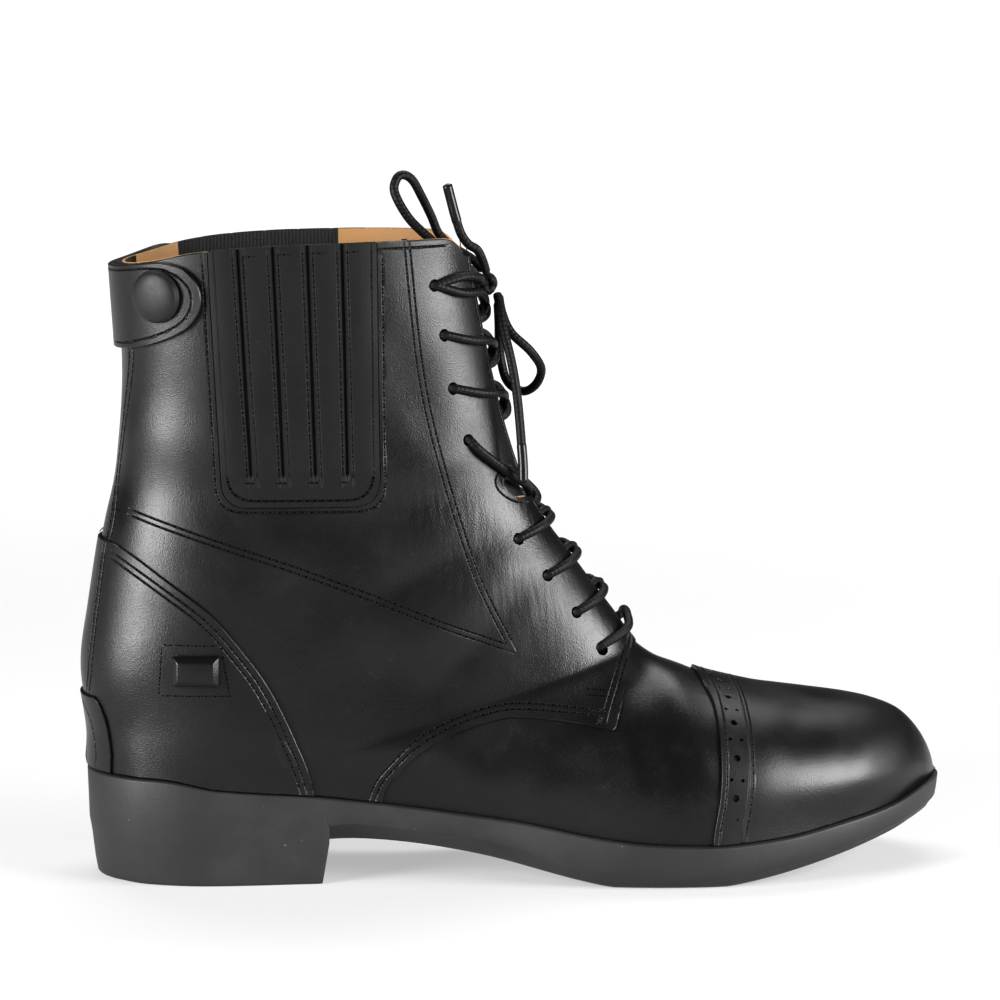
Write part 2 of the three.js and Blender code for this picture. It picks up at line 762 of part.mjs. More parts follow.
// Raised block on each side of the heel that a spur's strap rests on
const stopRun = -0.017;
const stopRise = 0.931;
function makeStop(side) {
  const bevel = 1.4;
  const shape = new THREE.Shape();
  const [halfLength, halfHeight] = [stopLength / 2 - bevel, stopHeight / 2 - bevel];
  shape.moveTo(-halfLength, -halfHeight);
  shape.lineTo(halfLength, -halfHeight);
  shape.lineTo(halfLength, halfHeight);
  shape.lineTo(-halfLength, halfHeight);
  const from = patchFrom - quarterStep;
  const block = new THREE.ExtrudeGeometry(shape, {
    depth: stopDepth + 3,
    bevelThickness: bevel,
    bevelSize: bevel,
    bevelSegments: 1,
  });
  block.rotateX(Math.PI / 2);
  block.translate(0, side > 0 ? from + stopDepth - bevel : -(from + stopDepth - bevel) + stopDepth + 3, 0);
  const { point, normal } = onSide(run(stopRun), level(stopRise), side);
  const flat = new THREE.Vector3(normal.x, normal.y, 0).normalize();
  const turn = new THREE.Quaternion().setFromUnitVectors(new THREE.Vector3(0, side, 0), flat);
  block.applyQuaternion(turn).translate(point.x, point.y, point.z);
  return solid(block).subtract(solid(form(patchFrom)));
}

// Laces
const laceLift = laceSize / 2 + 0.8; // from the facing to the middle of a lace that lies on it
function tube(points, corners = 3, stepLength = 3.3 * laceSize) {
  const path = new THREE.CatmullRomCurve3(points);
  const circle = new THREE.Shape();
  circle.absarc(0, 0, laceSize / 2, 0, 2 * Math.PI);
  const steps = Math.max(Math.round(path.getLength() / stepLength), points.length);
  return new THREE.ExtrudeGeometry(circle, {
    extrudePath: path,
    steps,
    curveSegments: corners,
    bevelEnabled: false,
  });
}
function over(y, z, lift) {
  const { point, normal } = onFront(y, z);
  return point.addScaledVector(normal, lift);
}
// A strand from an eyelet over the facing's edge and down to the other side of the opening. The four
// shares say how far down towards the next eyelet it lies at its start, edge, middle and end.
function strand(side, high, low, [start, edge, middle, end]) {
  const z = (t) => mix(level(high), level(low), t);
  const reach = (t) => throatHalf(z(t)) + eyeletSetback;
  const points = [
    over(side * reach(start), z(start), laceLift),
    over(side * (reach(start) - eyeletSetback * 0.5), z(mix(start, edge, 0.5)), laceLift + 0.5),
    over(side * (reach(edge) - eyeletSetback * 0.95), z(edge), laceLift + 0.7),
    over(0, z(middle), 0.6),
    over(-side * (throatHalf(z(end)) - laceSize * 0.9), z(end), -0.2),
  ];
  return solid(tube(points));
}
// A crossing runs from two eyelets down over the facings and dips between them.
function makeCrossing(i) {
  let shares = [0.08, 0.2, 0.38, 0.6];
  if (i === 1) shares = [0.06, 0.16, 0.3, 0.4]; // kept above the end of the opening
  if (i === eyeletRises.length - 1) shares = [0.14, 0.24, 0.52, 0.72]; // kept below the knot
  return strand(-1, eyeletRises[i], eyeletRises[i - 1], shares).add(
    strand(1, eyeletRises[i], eyeletRises[i - 1], shares),
  );
}
// The crossing at the ankle runs through the notches.
function makeNotchCrossing(i) {
  const z = level(notchRise);
  const top = level(eyeletRises[i]) - 1;
  const half = (side) => {
    const start = over(side * (throatHalf(top) + eyeletSetback), top, laceLift);
    const mouth = over(side * (throatHalf(z) + notchDepth * 0.55), z + 2, laceLift * 0.8);
    const inside = over(side * throatHalf(z) * 0.9, z - 1, -0.4);
    return solid(tube([start, mouth, inside, over(0, z - 5, -0.4), over(-side * 3.5, z - 7, -0.4)]));
  };
  return half(-1).add(half(1));
}
// The lowest bar runs straight across.
function makeBar() {
  const z = level(eyeletRises[0]) + 1;
  const reach = throatHalf(z) + eyeletSetback;
  const points = [-1, -0.6, -0.25, 0.25, 0.6, 1].map((t) =>
    over(t * reach, z + 4 * (1 - Math.abs(t)), laceLift + 0.7),
  );
  return solid(tube(points));
}
// The tie runs from the two top eyelets to the knot.
function makeTie() {
  const z = level(eyeletRises[eyeletRises.length - 1]) + 2.6;
  const half = throatHalf(z);
  const points = [-1, -0.55, 0, 0.55, 1].map((t) => {
    const y = t === 0 ? 0 : Math.sign(t) * (half + (Math.abs(t) - 0.5) * 2 * eyeletSetback);
    return over(y, z - 3 * (1 - Math.abs(t)), t === 0 ? -2.5 : laceLift + 1);
  });
  return solid(tube(points));
}

// The knot and the bow keep the places that they have in use.
const knotCentre = new THREE.Vector3(92.8, 0, 195.4);
const knotSize = { x: 5.2, y: 7.6, z: 7.6 };
function makeKnot() {
  const ball = new THREE.SphereGeometry(0.5, 10, 6).scale(knotSize.x, knotSize.y, knotSize.z);
  return solid(ball.translate(knotCentre.x, knotCentre.y, knotCentre.z));
}
const bowRoutes = {
  lace_loop_upper: [
    [91.9, 1.8, 199.5], [87.9, 2.8, 203.4], [81.5, 3.2, 207.5], [77, 3, 211.7], [74.4, 3, 217.7], [71.3, 2, 224],
    [68.3, 1, 229.4], [65.6, 0, 231.4], [63.2, -1, 230.9], [61.8, -2, 227.3], [63.1, -3, 223.1],
    [66.7, -3, 217.3], [70.9, -3, 213], [76, -2.5, 208.5], [81.5, -1.8, 204.3], [86.4, -1.2, 200.8],
  ],
  lace_end_upper: [
    [92.3, -2.3, 199.1], [91, -3.9, 203.2], [89, -5.4, 207], [86, -6.2, 209], [83.5, -6.5, 212.6],
    [81.7, -6.5, 218.2], [80.3, -6.5, 223.5], [78.9, -7, 228.9],
  ],
  lace_loop_lower: [
    [96.4, -2.2, 191.6], [97.2, -6, 186], [100, -8, 179.8], [106.5, -7, 173.5], [110.5, -2, 167.3],
    [109.6, 3, 161.8], [106.2, 6, 158.8], [102.6, 9, 159.5], [100, 12, 162.4], [98.6, 13.5, 168],
    [97.8, 12.5, 174], [97.4, 9, 181], [96.6, 3.6, 188.6],
  ],
  lace_end_lower: [
    [95.6, -5, 192.6], [96.4, -9, 187.6], [97.2, -12.6, 181], [99, -15, 173], [100.4, -16, 165.5],
    [101.4, -16.5, 158], [102, -17.5, 151], [102.4, -19, 144.5], [102.8, -20.5, 137.5],
    [102.8, -21.5, 131.5],
  ],
};

const leather = new THREE.MeshStandardMaterial({ color: 0x141414, roughness: 0.35 });
const rubber = new THREE.MeshStandardMaterial({ color: 0x3a3a3c, roughness: 0.75 });
const lining = new THREE.MeshStandardMaterial({ color: 0xb88a55, roughness: 0.8 });
const lacquer = new THREE.MeshStandardMaterial({ color: 0x1c1c1e, roughness: 0.3 });
const waxedCord = new THREE.MeshStandardMaterial({ color: 0x101010, roughness: 0.6 });

const boot = new THREE.Group();
function addPiece(name, made, material) {
  const mesh = new THREE.Mesh(toGeometry(made), material);
  mesh.name = name;
  boot.add(mesh);
}
addPiece("outsole", makeOutsole(), rubber);
addPiece("upper", makeUpper(), leather);
addPiece("tongue", makeTongue(), leather);
addPiece("insole", makeInsole(), lining);
addPiece("toe_cap", makeToeCap(), leather);
addPiece("heel_counter", makeCounter(), leather);
addPiece("heel_patch", makePatch(), leather);
addPiece("elastic_panel_outer", makePanel(-1), leather);
addPiece("elastic_panel_inner", makePanel(1), leather);
addPiece("back_strap", makeStrap(), leather);
addPiece("snap_cap", makeSnap(), lacquer);
addPiece("spur_stop_outer", makeStop(-1), leather);
addPiece("spur_stop_inner", makeStop(1), leather);
addPiece("lace_bar", makeBar(), waxedCord);
for (let i = 1; i < eyeletRises.length; i++) {
  addPiece(`lace_crossing_${i}`, i === 4 ? makeNotchCrossing(i) : makeCrossing(i), waxedCord);
}
addPiece("lace_tie", makeTie(), waxedCord);
addPiece("lace_knot", makeKnot(), waxedCord);
for (const [name, route] of Object.entries(bowRoutes)) {
  addPiece(name, solid(tube(route.map((p) => new THREE.Vector3(...p)), 4)), waxedCord);
}

export default boot;
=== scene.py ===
import math
import bpy
import bmesh
from functools import cache
from mathutils import Matrix, Vector
from mathutils.bvhtree import BVHTree
from mathutils.kdtree import KDTree


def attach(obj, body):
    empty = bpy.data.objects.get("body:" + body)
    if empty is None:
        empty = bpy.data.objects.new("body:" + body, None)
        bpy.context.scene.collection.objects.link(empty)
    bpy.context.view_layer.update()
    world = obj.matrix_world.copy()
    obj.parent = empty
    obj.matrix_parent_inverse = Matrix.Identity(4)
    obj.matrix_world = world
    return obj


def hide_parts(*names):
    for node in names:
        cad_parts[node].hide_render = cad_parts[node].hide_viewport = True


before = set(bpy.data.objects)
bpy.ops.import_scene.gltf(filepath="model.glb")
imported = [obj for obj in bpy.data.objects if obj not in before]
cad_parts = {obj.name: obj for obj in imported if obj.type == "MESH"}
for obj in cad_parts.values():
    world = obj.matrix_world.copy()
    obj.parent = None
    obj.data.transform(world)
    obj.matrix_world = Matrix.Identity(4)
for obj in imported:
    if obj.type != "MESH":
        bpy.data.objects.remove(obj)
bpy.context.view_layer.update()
scene = bpy.context.scene
mm = 0.001  # the boot is worked out in millimetres and made in metres


# camera, floor and lights

view = {
    "place": (-32.5, -1480.5, 326.6), "target": (97.0, 0.0, 123.0), "lens": 162.0, "sensor": 36,
    "near": 0.05, "far": 60, "gamma": 0.82,
}
studio = {"floorSize": 16, "floor": 0.34, "glow": (0.5, 1.0), "dark": 0.12, "sky": 0.06}
softBoxes = {
    "softBoxTop": {"place": (0.15, 0.75, 1.5), "target": (0.1, 0, 0.1), "size": (1.5, 0.7), "power": 22},
    "softBoxHeel": {"place": (-1.02, -0.66, 0.36), "target": (0, 0, 0.12), "size": (0.55, 0.72), "power": 33},
    "softBoxToe": {"place": (1.05, -0.52, 0.36), "target": (0.1, 0, 0.1), "size": (0.7, 0.6), "power": 27},
}


def aimed(thing, place, target):
    thing.location = place
    thing.rotation_euler = (Vector(target) - Vector(place)).to_track_quat("-Z", "Y").to_euler()
    scene.collection.objects.link(thing)


def makeCamera():
    camera = bpy.data.objects.new("photoCamera", bpy.data.cameras.new("photoCamera"))
    camera.data.lens = view["lens"]
    camera.data.sensor_width = view["sensor"]
    camera.data.clip_start = view["near"]
    camera.data.clip_end = view["far"]
    aimed(camera, Vector(view["place"]) * mm, Vector(view["target"]) * mm)
    scene.camera = camera
    scene.view_settings.view_transform = "Standard"
    scene.view_settings.gamma = view["gamma"]


def makeStudio():
    bm = bmesh.new()
    bmesh.ops.create_grid(bm, x_segments=2, y_segments=2, size=studio["floorSize"])
    floor = pieceFrom(bm, "floor", [floorMaterial()])
    world = bpy.data.worlds.new("studioAir")
    world.use_nodes = True
    world.node_tree.nodes["Background"].inputs["Color"].default_value = (1, 1, 1, 1)
    world.node_tree.nodes["Background"].inputs["Strength"].default_value = studio["sky"]
    scene.world = world
    for name, box in softBoxes.items():
        light = bpy.data.objects.new(name, bpy.data.lights.new(name, "AREA"))
        light.data.shape = "RECTANGLE"
        light.data.size, light.data.size_y = box["size"]
        light.data.energy = box["power"]
        aimed(light, box["place"], box["target"])


# small maths, as for the solids

def mix(a, b, t):
    return a + (b - a) * t


def smoothStep(t):
    x = min(max(t, 0.0), 1.0)
    return x * x * (3 - 2 * x)


def curveThrough(places, values, at):
    last = len(places) - 1
    x = min(max(at, places[0]), places[last])
    i = 0
    while i < last - 1 and x > places[i + 1]:
        i += 1

    def slope(k):
        a, b = max(k - 1, 0), min(k + 1, last)
        return (values[b] - values[a]) / (places[b] - places[a])

    span = places[i + 1] - places[i]
    t = (x - places[i]) / span
    rise = values[i + 1] - values[i]
    bend = (1 - t) * (slope(i) * span - rise) + t * (rise - slope(i + 1) * span)
    return values[i] + t * rise + t * (1 - t) * bend


def table(header, rows):
    names = header.split()
    return [dict(zip(names, row)) for row in rows]


# the last and the sole, in the sizes of the solids

last = {
    "soleLength": 288, "heelWidth": 67, "waistWidth": 62, "ballWidth": 101, "heelHeight": 36,
    "ballHeight": 14.2, "toeHeight": 28, "toeSpring": 17, "archRise": 14, "throatHeight": 78,
    "collarHeight": 212, "collarWidth": 69, "ankleWidth": 63, "wall": 2.2, "rimEdge": 3,
    "heelTaper": 3, "waistBevel": 9, "throatGapLow": 12, "throatGapHigh": 23, "skirt": 13,
}
fineness = {"cell": 1.9, "sides": 200}
heelBack = -0.1424 * last["soleLength"]
toeTip = heelBack + last["soleLength"]


def level(rise):  # 0 is the floor, 1 the lower end of the lacing, 2 the collar
    low, high = last["throatHeight"], last["collarHeight"]
    return rise * low if rise <= 1 else low + (rise - 1) * (high - low)


def run(share):
    return share * last["soleLength"]


outlineTable = table("run heel waist ball shift", [
    (0, 0, 0, 0, 0), (0.024, 0.296, 0, 0, 0), (0.059, 0.425, 0, 0, 0), (0.125, 0.5, 0, 0, 0),
    (0.264, 0.48, 0, 0, -0.007), (0.368, 0, 0.5, 0, -0.03), (0.472, 0, 0.28, 0.174, -0.04),
    (0.559, 0, 0, 0.42, -0.025), (0.628, 0, 0, 0.475, -0.01), (0.69, 0, 0, 0.498, 0),
    (0.733, 0, 0, 0.5, 0.01), (0.802, 0, 0, 0.468, 0.027), (0.872, 0, 0, 0.406, 0.05),
    (0.934, 0, 0, 0.302, 0.064), (0.976, 0, 0, 0.178, 0.079), (1, 0, 0, 0, 0.079),
])
outlineRuns = [heelBack + row["run"] * last["soleLength"] for row in outlineTable]
outlineSquares = [
    (row["heel"] * last["heelWidth"] + row["waist"] * last["waistWidth"]
     + row["ball"] * last["ballWidth"]) ** 2
    for row in outlineTable
]
outlineShifts = [row["shift"] * last["ballWidth"] for row in outlineTable]


def outline(x, inset):
    middle = (heelBack + toeTip) / 2
    place = middle + (x - middle) * last["soleLength"] / (last["soleLength"] - 2 * inset)
    centre = curveThrough(outlineRuns, outlineShifts, place)
    if place <= heelBack or place >= toeTip:
        return centre, 0.0
    half = math.sqrt(max(curveThrough(outlineRuns, outlineSquares, place), 0))
    return centre, half * (1 - inset / max(half, 6 * inset, 1))


rimTable = table("run heel ball toe", [
    (0, 1, 0, 0), (0.09, 0.985, 0, 0), (0.146, 0.9, 0, 0), (0.26, 0.82, 0, 0), (0.403, 0.68, 0, 0),
    (0.497, 0.5, 0.21, 0), (0.566, 0.25, 0.58, 0), (0.628, 0, 1.06, 0), (0.69, 0, 1, 0),
    (0.733, 0, 1.01, 0), (0.802, 0, 0.9, 0.115), (0.854, 0, 0.68, 0.316), (0.924, 0, 0.3, 0.634),
    (0.969, 0, 0.1, 0.86), (1, 0, 0, 1),
])
rimRuns = [heelBack + row["run"] * last["soleLength"] for row in rimTable]
rimHeights = [
    row["heel"] * last["heelHeight"] + row["ball"] * last["ballHeight"] + row["toe"] * last["toeHeight"]
    for row in rimTable
]


def rim(x):
    return curveThrough(rimRuns, rimHeights, x)


treadStart, treadEnd, breast = run(0.451), run(0.583), run(0.132)


def underside(x):
    if x < treadStart:
        t = min((treadStart - x) / (treadStart - breast), 1)
        return last["archRise"] * math.sin(t ** 1.1 * math.pi / 2)
    if x > treadEnd:
        return last["toeSpring"] * ((x - treadEnd) / (toeTip - treadEnd)) ** 1.25
    return 0.0


def waist(x):
    return smoothStep((x - breast + 15) / run(0.09)) * smoothStep((treadStart - 8 - x) / run(0.13))


sectionKeys = (
    "backRun backRise skirt frontRun frontRise collar ankle heel ball "
    "shift widest roundBack roundFront"
)
sectionTable = table(sectionKeys, [
    (-0.1028, 2.03, 0, 0.3, 2.09, 1, 0, 0, 0, 0, 0.46, 2.3, 2.2),
    (-0.0986, 1.88, 0, 0.3054, 1.94, 0.98, 0, 0, 0, 0, 0.46, 2.3, 2.2),
    (-0.0941, 1.7, 0, 0.3187, 1.77, 0.5, 0.5, 0, 0, 0, 0.45, 2.3, 2.25),
    (-0.0969, 1.55, 0, 0.3361, 1.59, 0, 1, 0, 0, 0, 0.44, 2.3, 2.3),
    (-0.1073, 1.4, 0, 0.3587, 1.418, 0, 1, 0, 0, 0, 0.42, 2.3, 2.4),
    (-0.1191, 1.261, 0, 0.3885, 1.29, 0, 1.015, 0, 0, 0, 0.38, 2.3, 2.5),
    (-0.1312, 1.1, 0, 0.4215, 1.191, 0, 0, 0.97, 0, 0, 0.34, 2.3, 2.6),
    (-0.141, 0.9, 0, 0.449, 1.108, 0, 0, 0.985, 0, 0, 0.32, 2.3, 2.7),
    (-0.132, 0.62, 0, 0.472, 1.043, 0, 0, 0.975, 0, 0, 0.31, 2.3, 2.7),
    (-0.1285, 0, 1, 0.4895, 0.985, 0, 0, 0.985, 0, 0, 0.31, 2.4, 2.7),
    (-0.052, 0, 1, 0.5017, 0.943, 0, 0, 1, 0, 0, 0.34, 3, 2.6),
    (0.156, 0, 1, 0.5208, 0.893, 0, 0, 0.52, 0.34, -0.006, 0.38, 3.4, 2.4),
    (0.337, 0, 1, 0.5469, 0.853, 0, 0, 0, 0.83, -0.004, 0.41, 3.5, 2.25),
    (0.472, 0, 1, 0.5816, 0.803, 0, 0, 0, 0.935, 0.005, 0.42, 3.5, 2.15),
    (0.583, 0, 1, 0.632, 0.757, 0, 0, 0, 0.945, 0.015, 0.42, 3.5, 2.15),
    (0.639, 0, 1, 0.665, 0.735, 0, 0, 0, 0.905, 0.028, 0.42, 3.5, 2.15),
    (0.691, 0, 1, 0.705, 0.711, 0, 0, 0, 0.84, 0.042, 0.42, 3.4, 2.15),
    (0.7396, 0, 1, 0.7465, 0.687, 0, 0, 0, 0.735, 0.054, 0.42, 3.3, 2.15),
    (0.7778, 0, 1, 0.7778, 0.66, 0, 0, 0, 0.61, 0.064, 0.42, 3.2, 2.15),
    (0.8073, 0, 1, 0.8073, 0.615, 0, 0, 0, 0.467, 0.072, 0.42, 3, 2.15),
    (0.8281, 0, 1, 0.8281, 0.54, 0, 0, 0, 0.333, 0.078, 0.43, 2.8, 2.15),
    (0.842, 0, 1, 0.842, 0.45, 0, 0, 0, 0.194, 0.079, 0.45, 2.6, 2.15),
    (0.8493, 0, 1, 0.8493, 0.36, 0, 0, 0, 0, 0.079, 0.48, 2.4, 2.15),
])


def sectionSizes(row):
    half = 0.5 * (
        row["collar"] * last["collarWidth"] + row["ankle"] * last["ankleWidth"]
        + row["heel"] * last["heelWidth"] + row["ball"] * last["ballWidth"]
    )
    backX = run(row["backRun"])
    return (
        backX, rim(backX) - last["skirt"] if row["skirt"] else level(row["backRise"]),
        run(row["frontRun"]), level(row["frontRise"]), half * half, row["shift"] * last["ballWidth"],
        row["widest"], row["roundBack"], row["roundFront"],
    )


sections = [sectionSizes(row) for row in sectionTable]
sectionPlaces = list(range(len(sections)))
sectionColumns = [[s[k] for s in sections] for k in range(9)]


def sectionRing(place, sides):
    values = [curveThrough(sectionPlaces, column, place) for column in sectionColumns]
    backX, backZ, frontX, frontZ, square, shift, widest, roundBack, roundFront = values
    half = math.sqrt(max(square, 0))
    ring = []
    for i in range(sides):
        angle = i / sides * 2 * math.pi
        up, out = -math.cos(angle), abs(math.sin(angle))
        side = -1 if angle < math.pi else 1
        power = 2 / (roundBack if up < 0 else roundFront)
        along = widest + (-widest * (-up) ** power if up < 0 else (1 - widest) * up ** power)
        x, z = mix(backX, frontX, along), mix(backZ, frontZ, along)
        y = shift + side * half * out ** power
        if out > 1e-6:
            above = z - rim(x)
            fade = min(22, 0.45 * max(frontZ - rim(x), 1))
            if above > 0:
                hold = 1 - smoothStep(above / fade)
            else:
                hold = smoothStep((above + last["skirt"]) / (0.5 * last["skirt"]))
            if hold > 0:
                centre, foot = outline(x, last["rimEdge"])
                y = mix(y, centre + side * foot, hold)
        ring.append(Vector((x, y, z)))
    return ring


def ringPlaces(cell):
    places = []
    for k in range(len(sections) - 1):
        near, far = sectionRing(k, 24), sectionRing(k + 1, 24)
        reach = max((a - b).length for a, b in zip(near, far))
        steps = max(3, math.ceil(reach / cell))
        places += [k + i / steps for i in range(steps)]
    return places + [len(sections) - 1]


def skinNormals(rings):
    count = len(rings[0])
    normals = []
    for k, ring in enumerate(rings):
        before, after = rings[max(k - 1, 0)], rings[min(k + 1, len(rings) - 1)]
        row = []
        for i in range(count):
            around = ring[(i + 1) % count] - ring[i - 1]
            row.append((after[i] - before[i]).cross(around).normalized())
        normals.append(row)
    tip = normals[-2]
    for i in range(count):
        across = tip[i] + tip[(count - i) % count]
        across.y = 0
        normals[-1][i] = across.normalized()
    return normals


creases = table("ax az bx bz width depth side", [
    (93, 115, 58, 97, 6, -0.8, 0), (99, 103, 68, 80, 7, 0.6, 0), (101, 96, 74, 66, 5, -0.6, 0),
    (84, 131, 40, 118, 8, -0.7, 0), (80, 140, 50, 136, 6, 0.5, 0), (-32, 133, 30, 124, 11, -0.9, 0),
    (-30, 150, 8, 146, 9, 0.6, -1), (28, 100, 10, 70, 12, -0.6, 0), (50, 78, 78, 58, 7, -0.5, 0),
    (141, 74, 152, 34, 6, -0.7, 0), (151, 70, 160, 40, 4, 0.4, -1), (134, 66, 140, 30, 5, 0.5, 0),
    (128, 82, 133, 60, 4, -0.5, 1), (196, 56, 214, 44, 12, -0.4, -1), (180, 60, 204, 34, 9, -0.35, 1),
    (-36, 100, -30, 60, 9, 0.4, -1), (60, 180, 72, 150, 8, -0.5, 0), (-25, 190, -22, 160, 8, -0.4, 1),
])


def relief(co):  # soft troughs and ridges where the leather has bent, placed in the side view
    total = 0.0
    for row in creases:
        if row["side"] and row["side"] * co.y < 0:
            continue
        dx, dz = row["bx"] - row["ax"], row["bz"] - row["az"]
        t = ((co.x - row["ax"]) * dx + (co.z - row["az"]) * dz) / (dx * dx + dz * dz)
        ease = smoothStep(min(t + 0.35, 1.35 - t) / 0.5)
        if ease <= 0:
            continue
        away = ((co.x - row["ax"]) * dz - (co.z - row["az"]) * dx) / math.hypot(dx, dz)
        side = smoothStep((abs(co.y) - 3) / 14) if row["side"] else 1
        total += row["depth"] * ease * side * math.exp(-((away / row["width"]) ** 2))
    return total * smoothStep((co.z - rim(co.x) - 2) / 10)


skinRings = [sectionRing(place, fineness["sides"]) for place in ringPlaces(fineness["cell"])]
skinOut = skinNormals(skinRings)
for ring, outs in zip(skinRings, skinOut):
    for point, out in zip(ring, outs):
        point += out * relief(point)
skinOut = skinNormals(skinRings)
print("last:", len(skinRings), "sections of", fineness["sides"], "points")


def skinTreeAt(lift):
    count = fineness["sides"]
    points, faces = [], []
    for ring, outs in zip(skinRings, skinOut):
        points += [p + n * lift for p, n in zip(ring, outs)]
    for k in range(len(skinRings) - 1):
        for i in range(count):
            j = (i + 1) % count
            a, b = k * count, (k + 1) * count
            faces.append((a + i, a + j, b + j, b + i))
    return BVHTree.FromPolygons(points, faces)


skinTree = skinTreeAt(0)


def seen(start, direction, lift=0.0):
    hit, normal, _, _ = skinTree.ray_cast(Vector(start), Vector(direction))
    if hit is None:
        return None
    if normal.dot(Vector(direction)) > 0:
        normal = -normal
    return hit + normal * lift, normal


def onSide(x, z, side, lift=0.0):
    return seen((x, side * 400, z), (0, -side, 0), lift)


def onFront(y, z, lift=0.0):
    return seen((400, y, z), (-1, 0, 0), lift)


# making meshes

def pieceFrom(bm, name, materials, node=(), slot=None):
    mesh = bpy.data.meshes.new(name)
    bm.to_mesh(mesh)
    bm.free()
    for material in materials:
        mesh.materials.append(material)
    piece = bpy.data.objects.new(name, mesh)
    scene.collection.objects.link(piece)
    if slot:
        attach(piece, "root")
    if node:
        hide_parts(*node)
    return piece


def bootPiece(bm, name, materials, node=(), slot="leather", sharp=40):
    bmesh.ops.scale(bm, vec=(mm, mm, mm), verts=bm.verts[:])
    bm.normal_update()
    for face in bm.faces:
        face.smooth = True
    for edge in bm.edges:
        edge.smooth = edge.calc_face_angle(0) < math.radians(sharp)
    print(name, len(bm.faces), "faces")
    return pieceFrom(bm, name, materials, node, slot)


def mappedGrid(columns, rows, placeAt):
    bm = bmesh.new()
    bmesh.ops.create_grid(bm, x_segments=columns, y_segments=rows, size=1)
    layer = bm.loops.layers.uv.new("UVMap")
    spots = {v: ((v.co.x + 1) / 2, (v.co.y + 1) / 2) for v in bm.verts}
    for face in bm.faces:
        for loop in face.loops:
            loop[layer].uv = spots[loop.vert]
    for v, (s, t) in spots.items():
        v.co = placeAt(s, t)
    return bm


def skinSheet(lift, field, stride=1):  # the rings of the skin that the field, above 0 inside, reaches
    hits = [k for k, ring in enumerate(skinRings) if any(field(p) > 0 for p in ring[::3])]
    first, final = max(hits[0] - 2, 0), min(hits[-1] + 2, len(skinRings) - 1)
    sides = fineness["sides"]

    def place(s, t):
        k = first + round(s * (final - first))
        i = round(t * sides) % sides
        return skinRings[k][i] + skinOut[k][i] * lift

    bm = mappedGrid((final - first) // stride, sides // stride, place)
    bmesh.ops.remove_doubles(bm, verts=bm.verts[:], dist=0.002)
    return bm


skinKd = KDTree(len(skinRings) * fineness["sides"])
for k, ring in enumerate(skinRings):
    for i, point in enumerate(ring):
        skinKd.insert(point, k * fineness["sides"] + i)
skinKd.balance()


def nearestOut(point):
    spot, index, _ = skinKd.find(point)
    return spot, skinOut[index // fineness["sides"]][index % fineness["sides"]]


def refine(bm, near, cuts=1):
    edges = [e for e in bm.edges if near(e.verts[0].co) or near(e.verts[1].co)]
    if edges:
        bmesh.ops.subdivide_edges(bm, edges=edges, cuts=cuts, use_grid_fill=True)


def clip(bm, field):  # keeps what lies where the field is above 0, cut along its zero line
    depth = {v: field(v.co) for v in bm.verts}
    outside = [f for f in bm.faces if all(depth[v] < 0 for v in f.verts)]
    bmesh.ops.delete(bm, geom=outside, context="FACES")
    onLine = set(v for v in bm.verts if depth[v] == 0)
    for edge in [e for e in bm.edges if depth[e.verts[0]] * depth[e.verts[1]] < 0]:
        a, b = edge.verts
        if depth[a] * depth[b] >= 0:
            continue
        low, high, t = 0.0, 1.0, depth[a] / (depth[a] - depth[b])
        for _ in range(3):
            value = field(a.co.lerp(b.co, t))
            if value * depth[a] > 0:
                low = t
                t = t + (high - t) * abs(value) / (abs(value) + abs(depth[b]) + 1e-9)
            else:
                high = t
                t = t - (t - low) * abs(value) / (abs(value) + abs(depth[a]) + 1e-9)
        if t < 0.2:
            a.co = a.co.lerp(b.co, t)
            depth[a] = 0
            onLine.add(a)
        elif t > 0.8:
            b.co = a.co.lerp(b.co, t)
            depth[b] = 0
            onLine.add(b)
        else:
            _, new = bmesh.utils.edge_split(edge, a, t)
            depth[new] = 0
            onLine.add(new)
    bmesh.ops.connect_verts(bm, verts=list(onLine))
    outside = []
    for face in bm.faces:
        total = sum(depth[v] for v in face.verts)
        if total < 0 or (total == 0 and field(face.calc_center_median()) < 0):
            outside.append(face)
    bmesh.ops.delete(bm, geom=outside, context="FACES")


def inwards(v, out):  # from the edge of a sheet towards its middle, and how far it may go
    total, free = Vector(), 9.0
    for edge in v.link_edges:
        along = (edge.other_vert(v).co - v.co)
        if edge.is_boundary:
            aim = edge.link_faces[0].calc_center_median() - v.co
            across = out.cross(along).normalized()
            total += across if across.dot(aim) > 0 else -across
        else:
            free = min(free, along.length)
    return total.normalized(), free


def solidSheet(bm, thickness, roll=0.0):  # gives a sheet its thickness, with its upper edge rolled over
    bm.verts.index_update()
    order = [nearestOut(v.co)[1] for v in bm.verts]
    mark = bm.verts.layers.int.new("sheetPlace")
    for v in bm.verts:
        v[mark] = v.index
    edge = {v.index: inwards(v, order[v.index]) for v in bm.verts if v.is_boundary} if roll else {}
    lower = bm.faces[:]
    made = bmesh.ops.extrude_face_region(bm, geom=lower, use_keep_orig=True)["geom"]
    upper = set(v for v in made if isinstance(v, bmesh.types.BMVert))
    for v in upper:
        if v[mark] in edge:
            aim, free = edge[v[mark]]
            v.co += aim * min(roll, 0.45 * free)
    for v in bm.verts:
        if v not in upper:
            v.co -= order[v[mark]] * roll
    if roll:
        made = bmesh.ops.extrude_face_region(bm, geom=[f for f in lower if f.is_valid])["geom"]
        for v in made:
            if isinstance(v, bmesh.types.BMVert):
                v.co -= order[v[mark]] * (thickness - roll)
        bmesh.ops.delete(bm, geom=[f for f in lower if f.is_valid], context="FACES")
    else:
        for v in bm.verts:
            if v not in upper:
                v.co -= order[v[mark]] * thickness
    bmesh.ops.recalc_face_normals(bm, faces=bm.faces[:])


# lines and shapes seen from the side

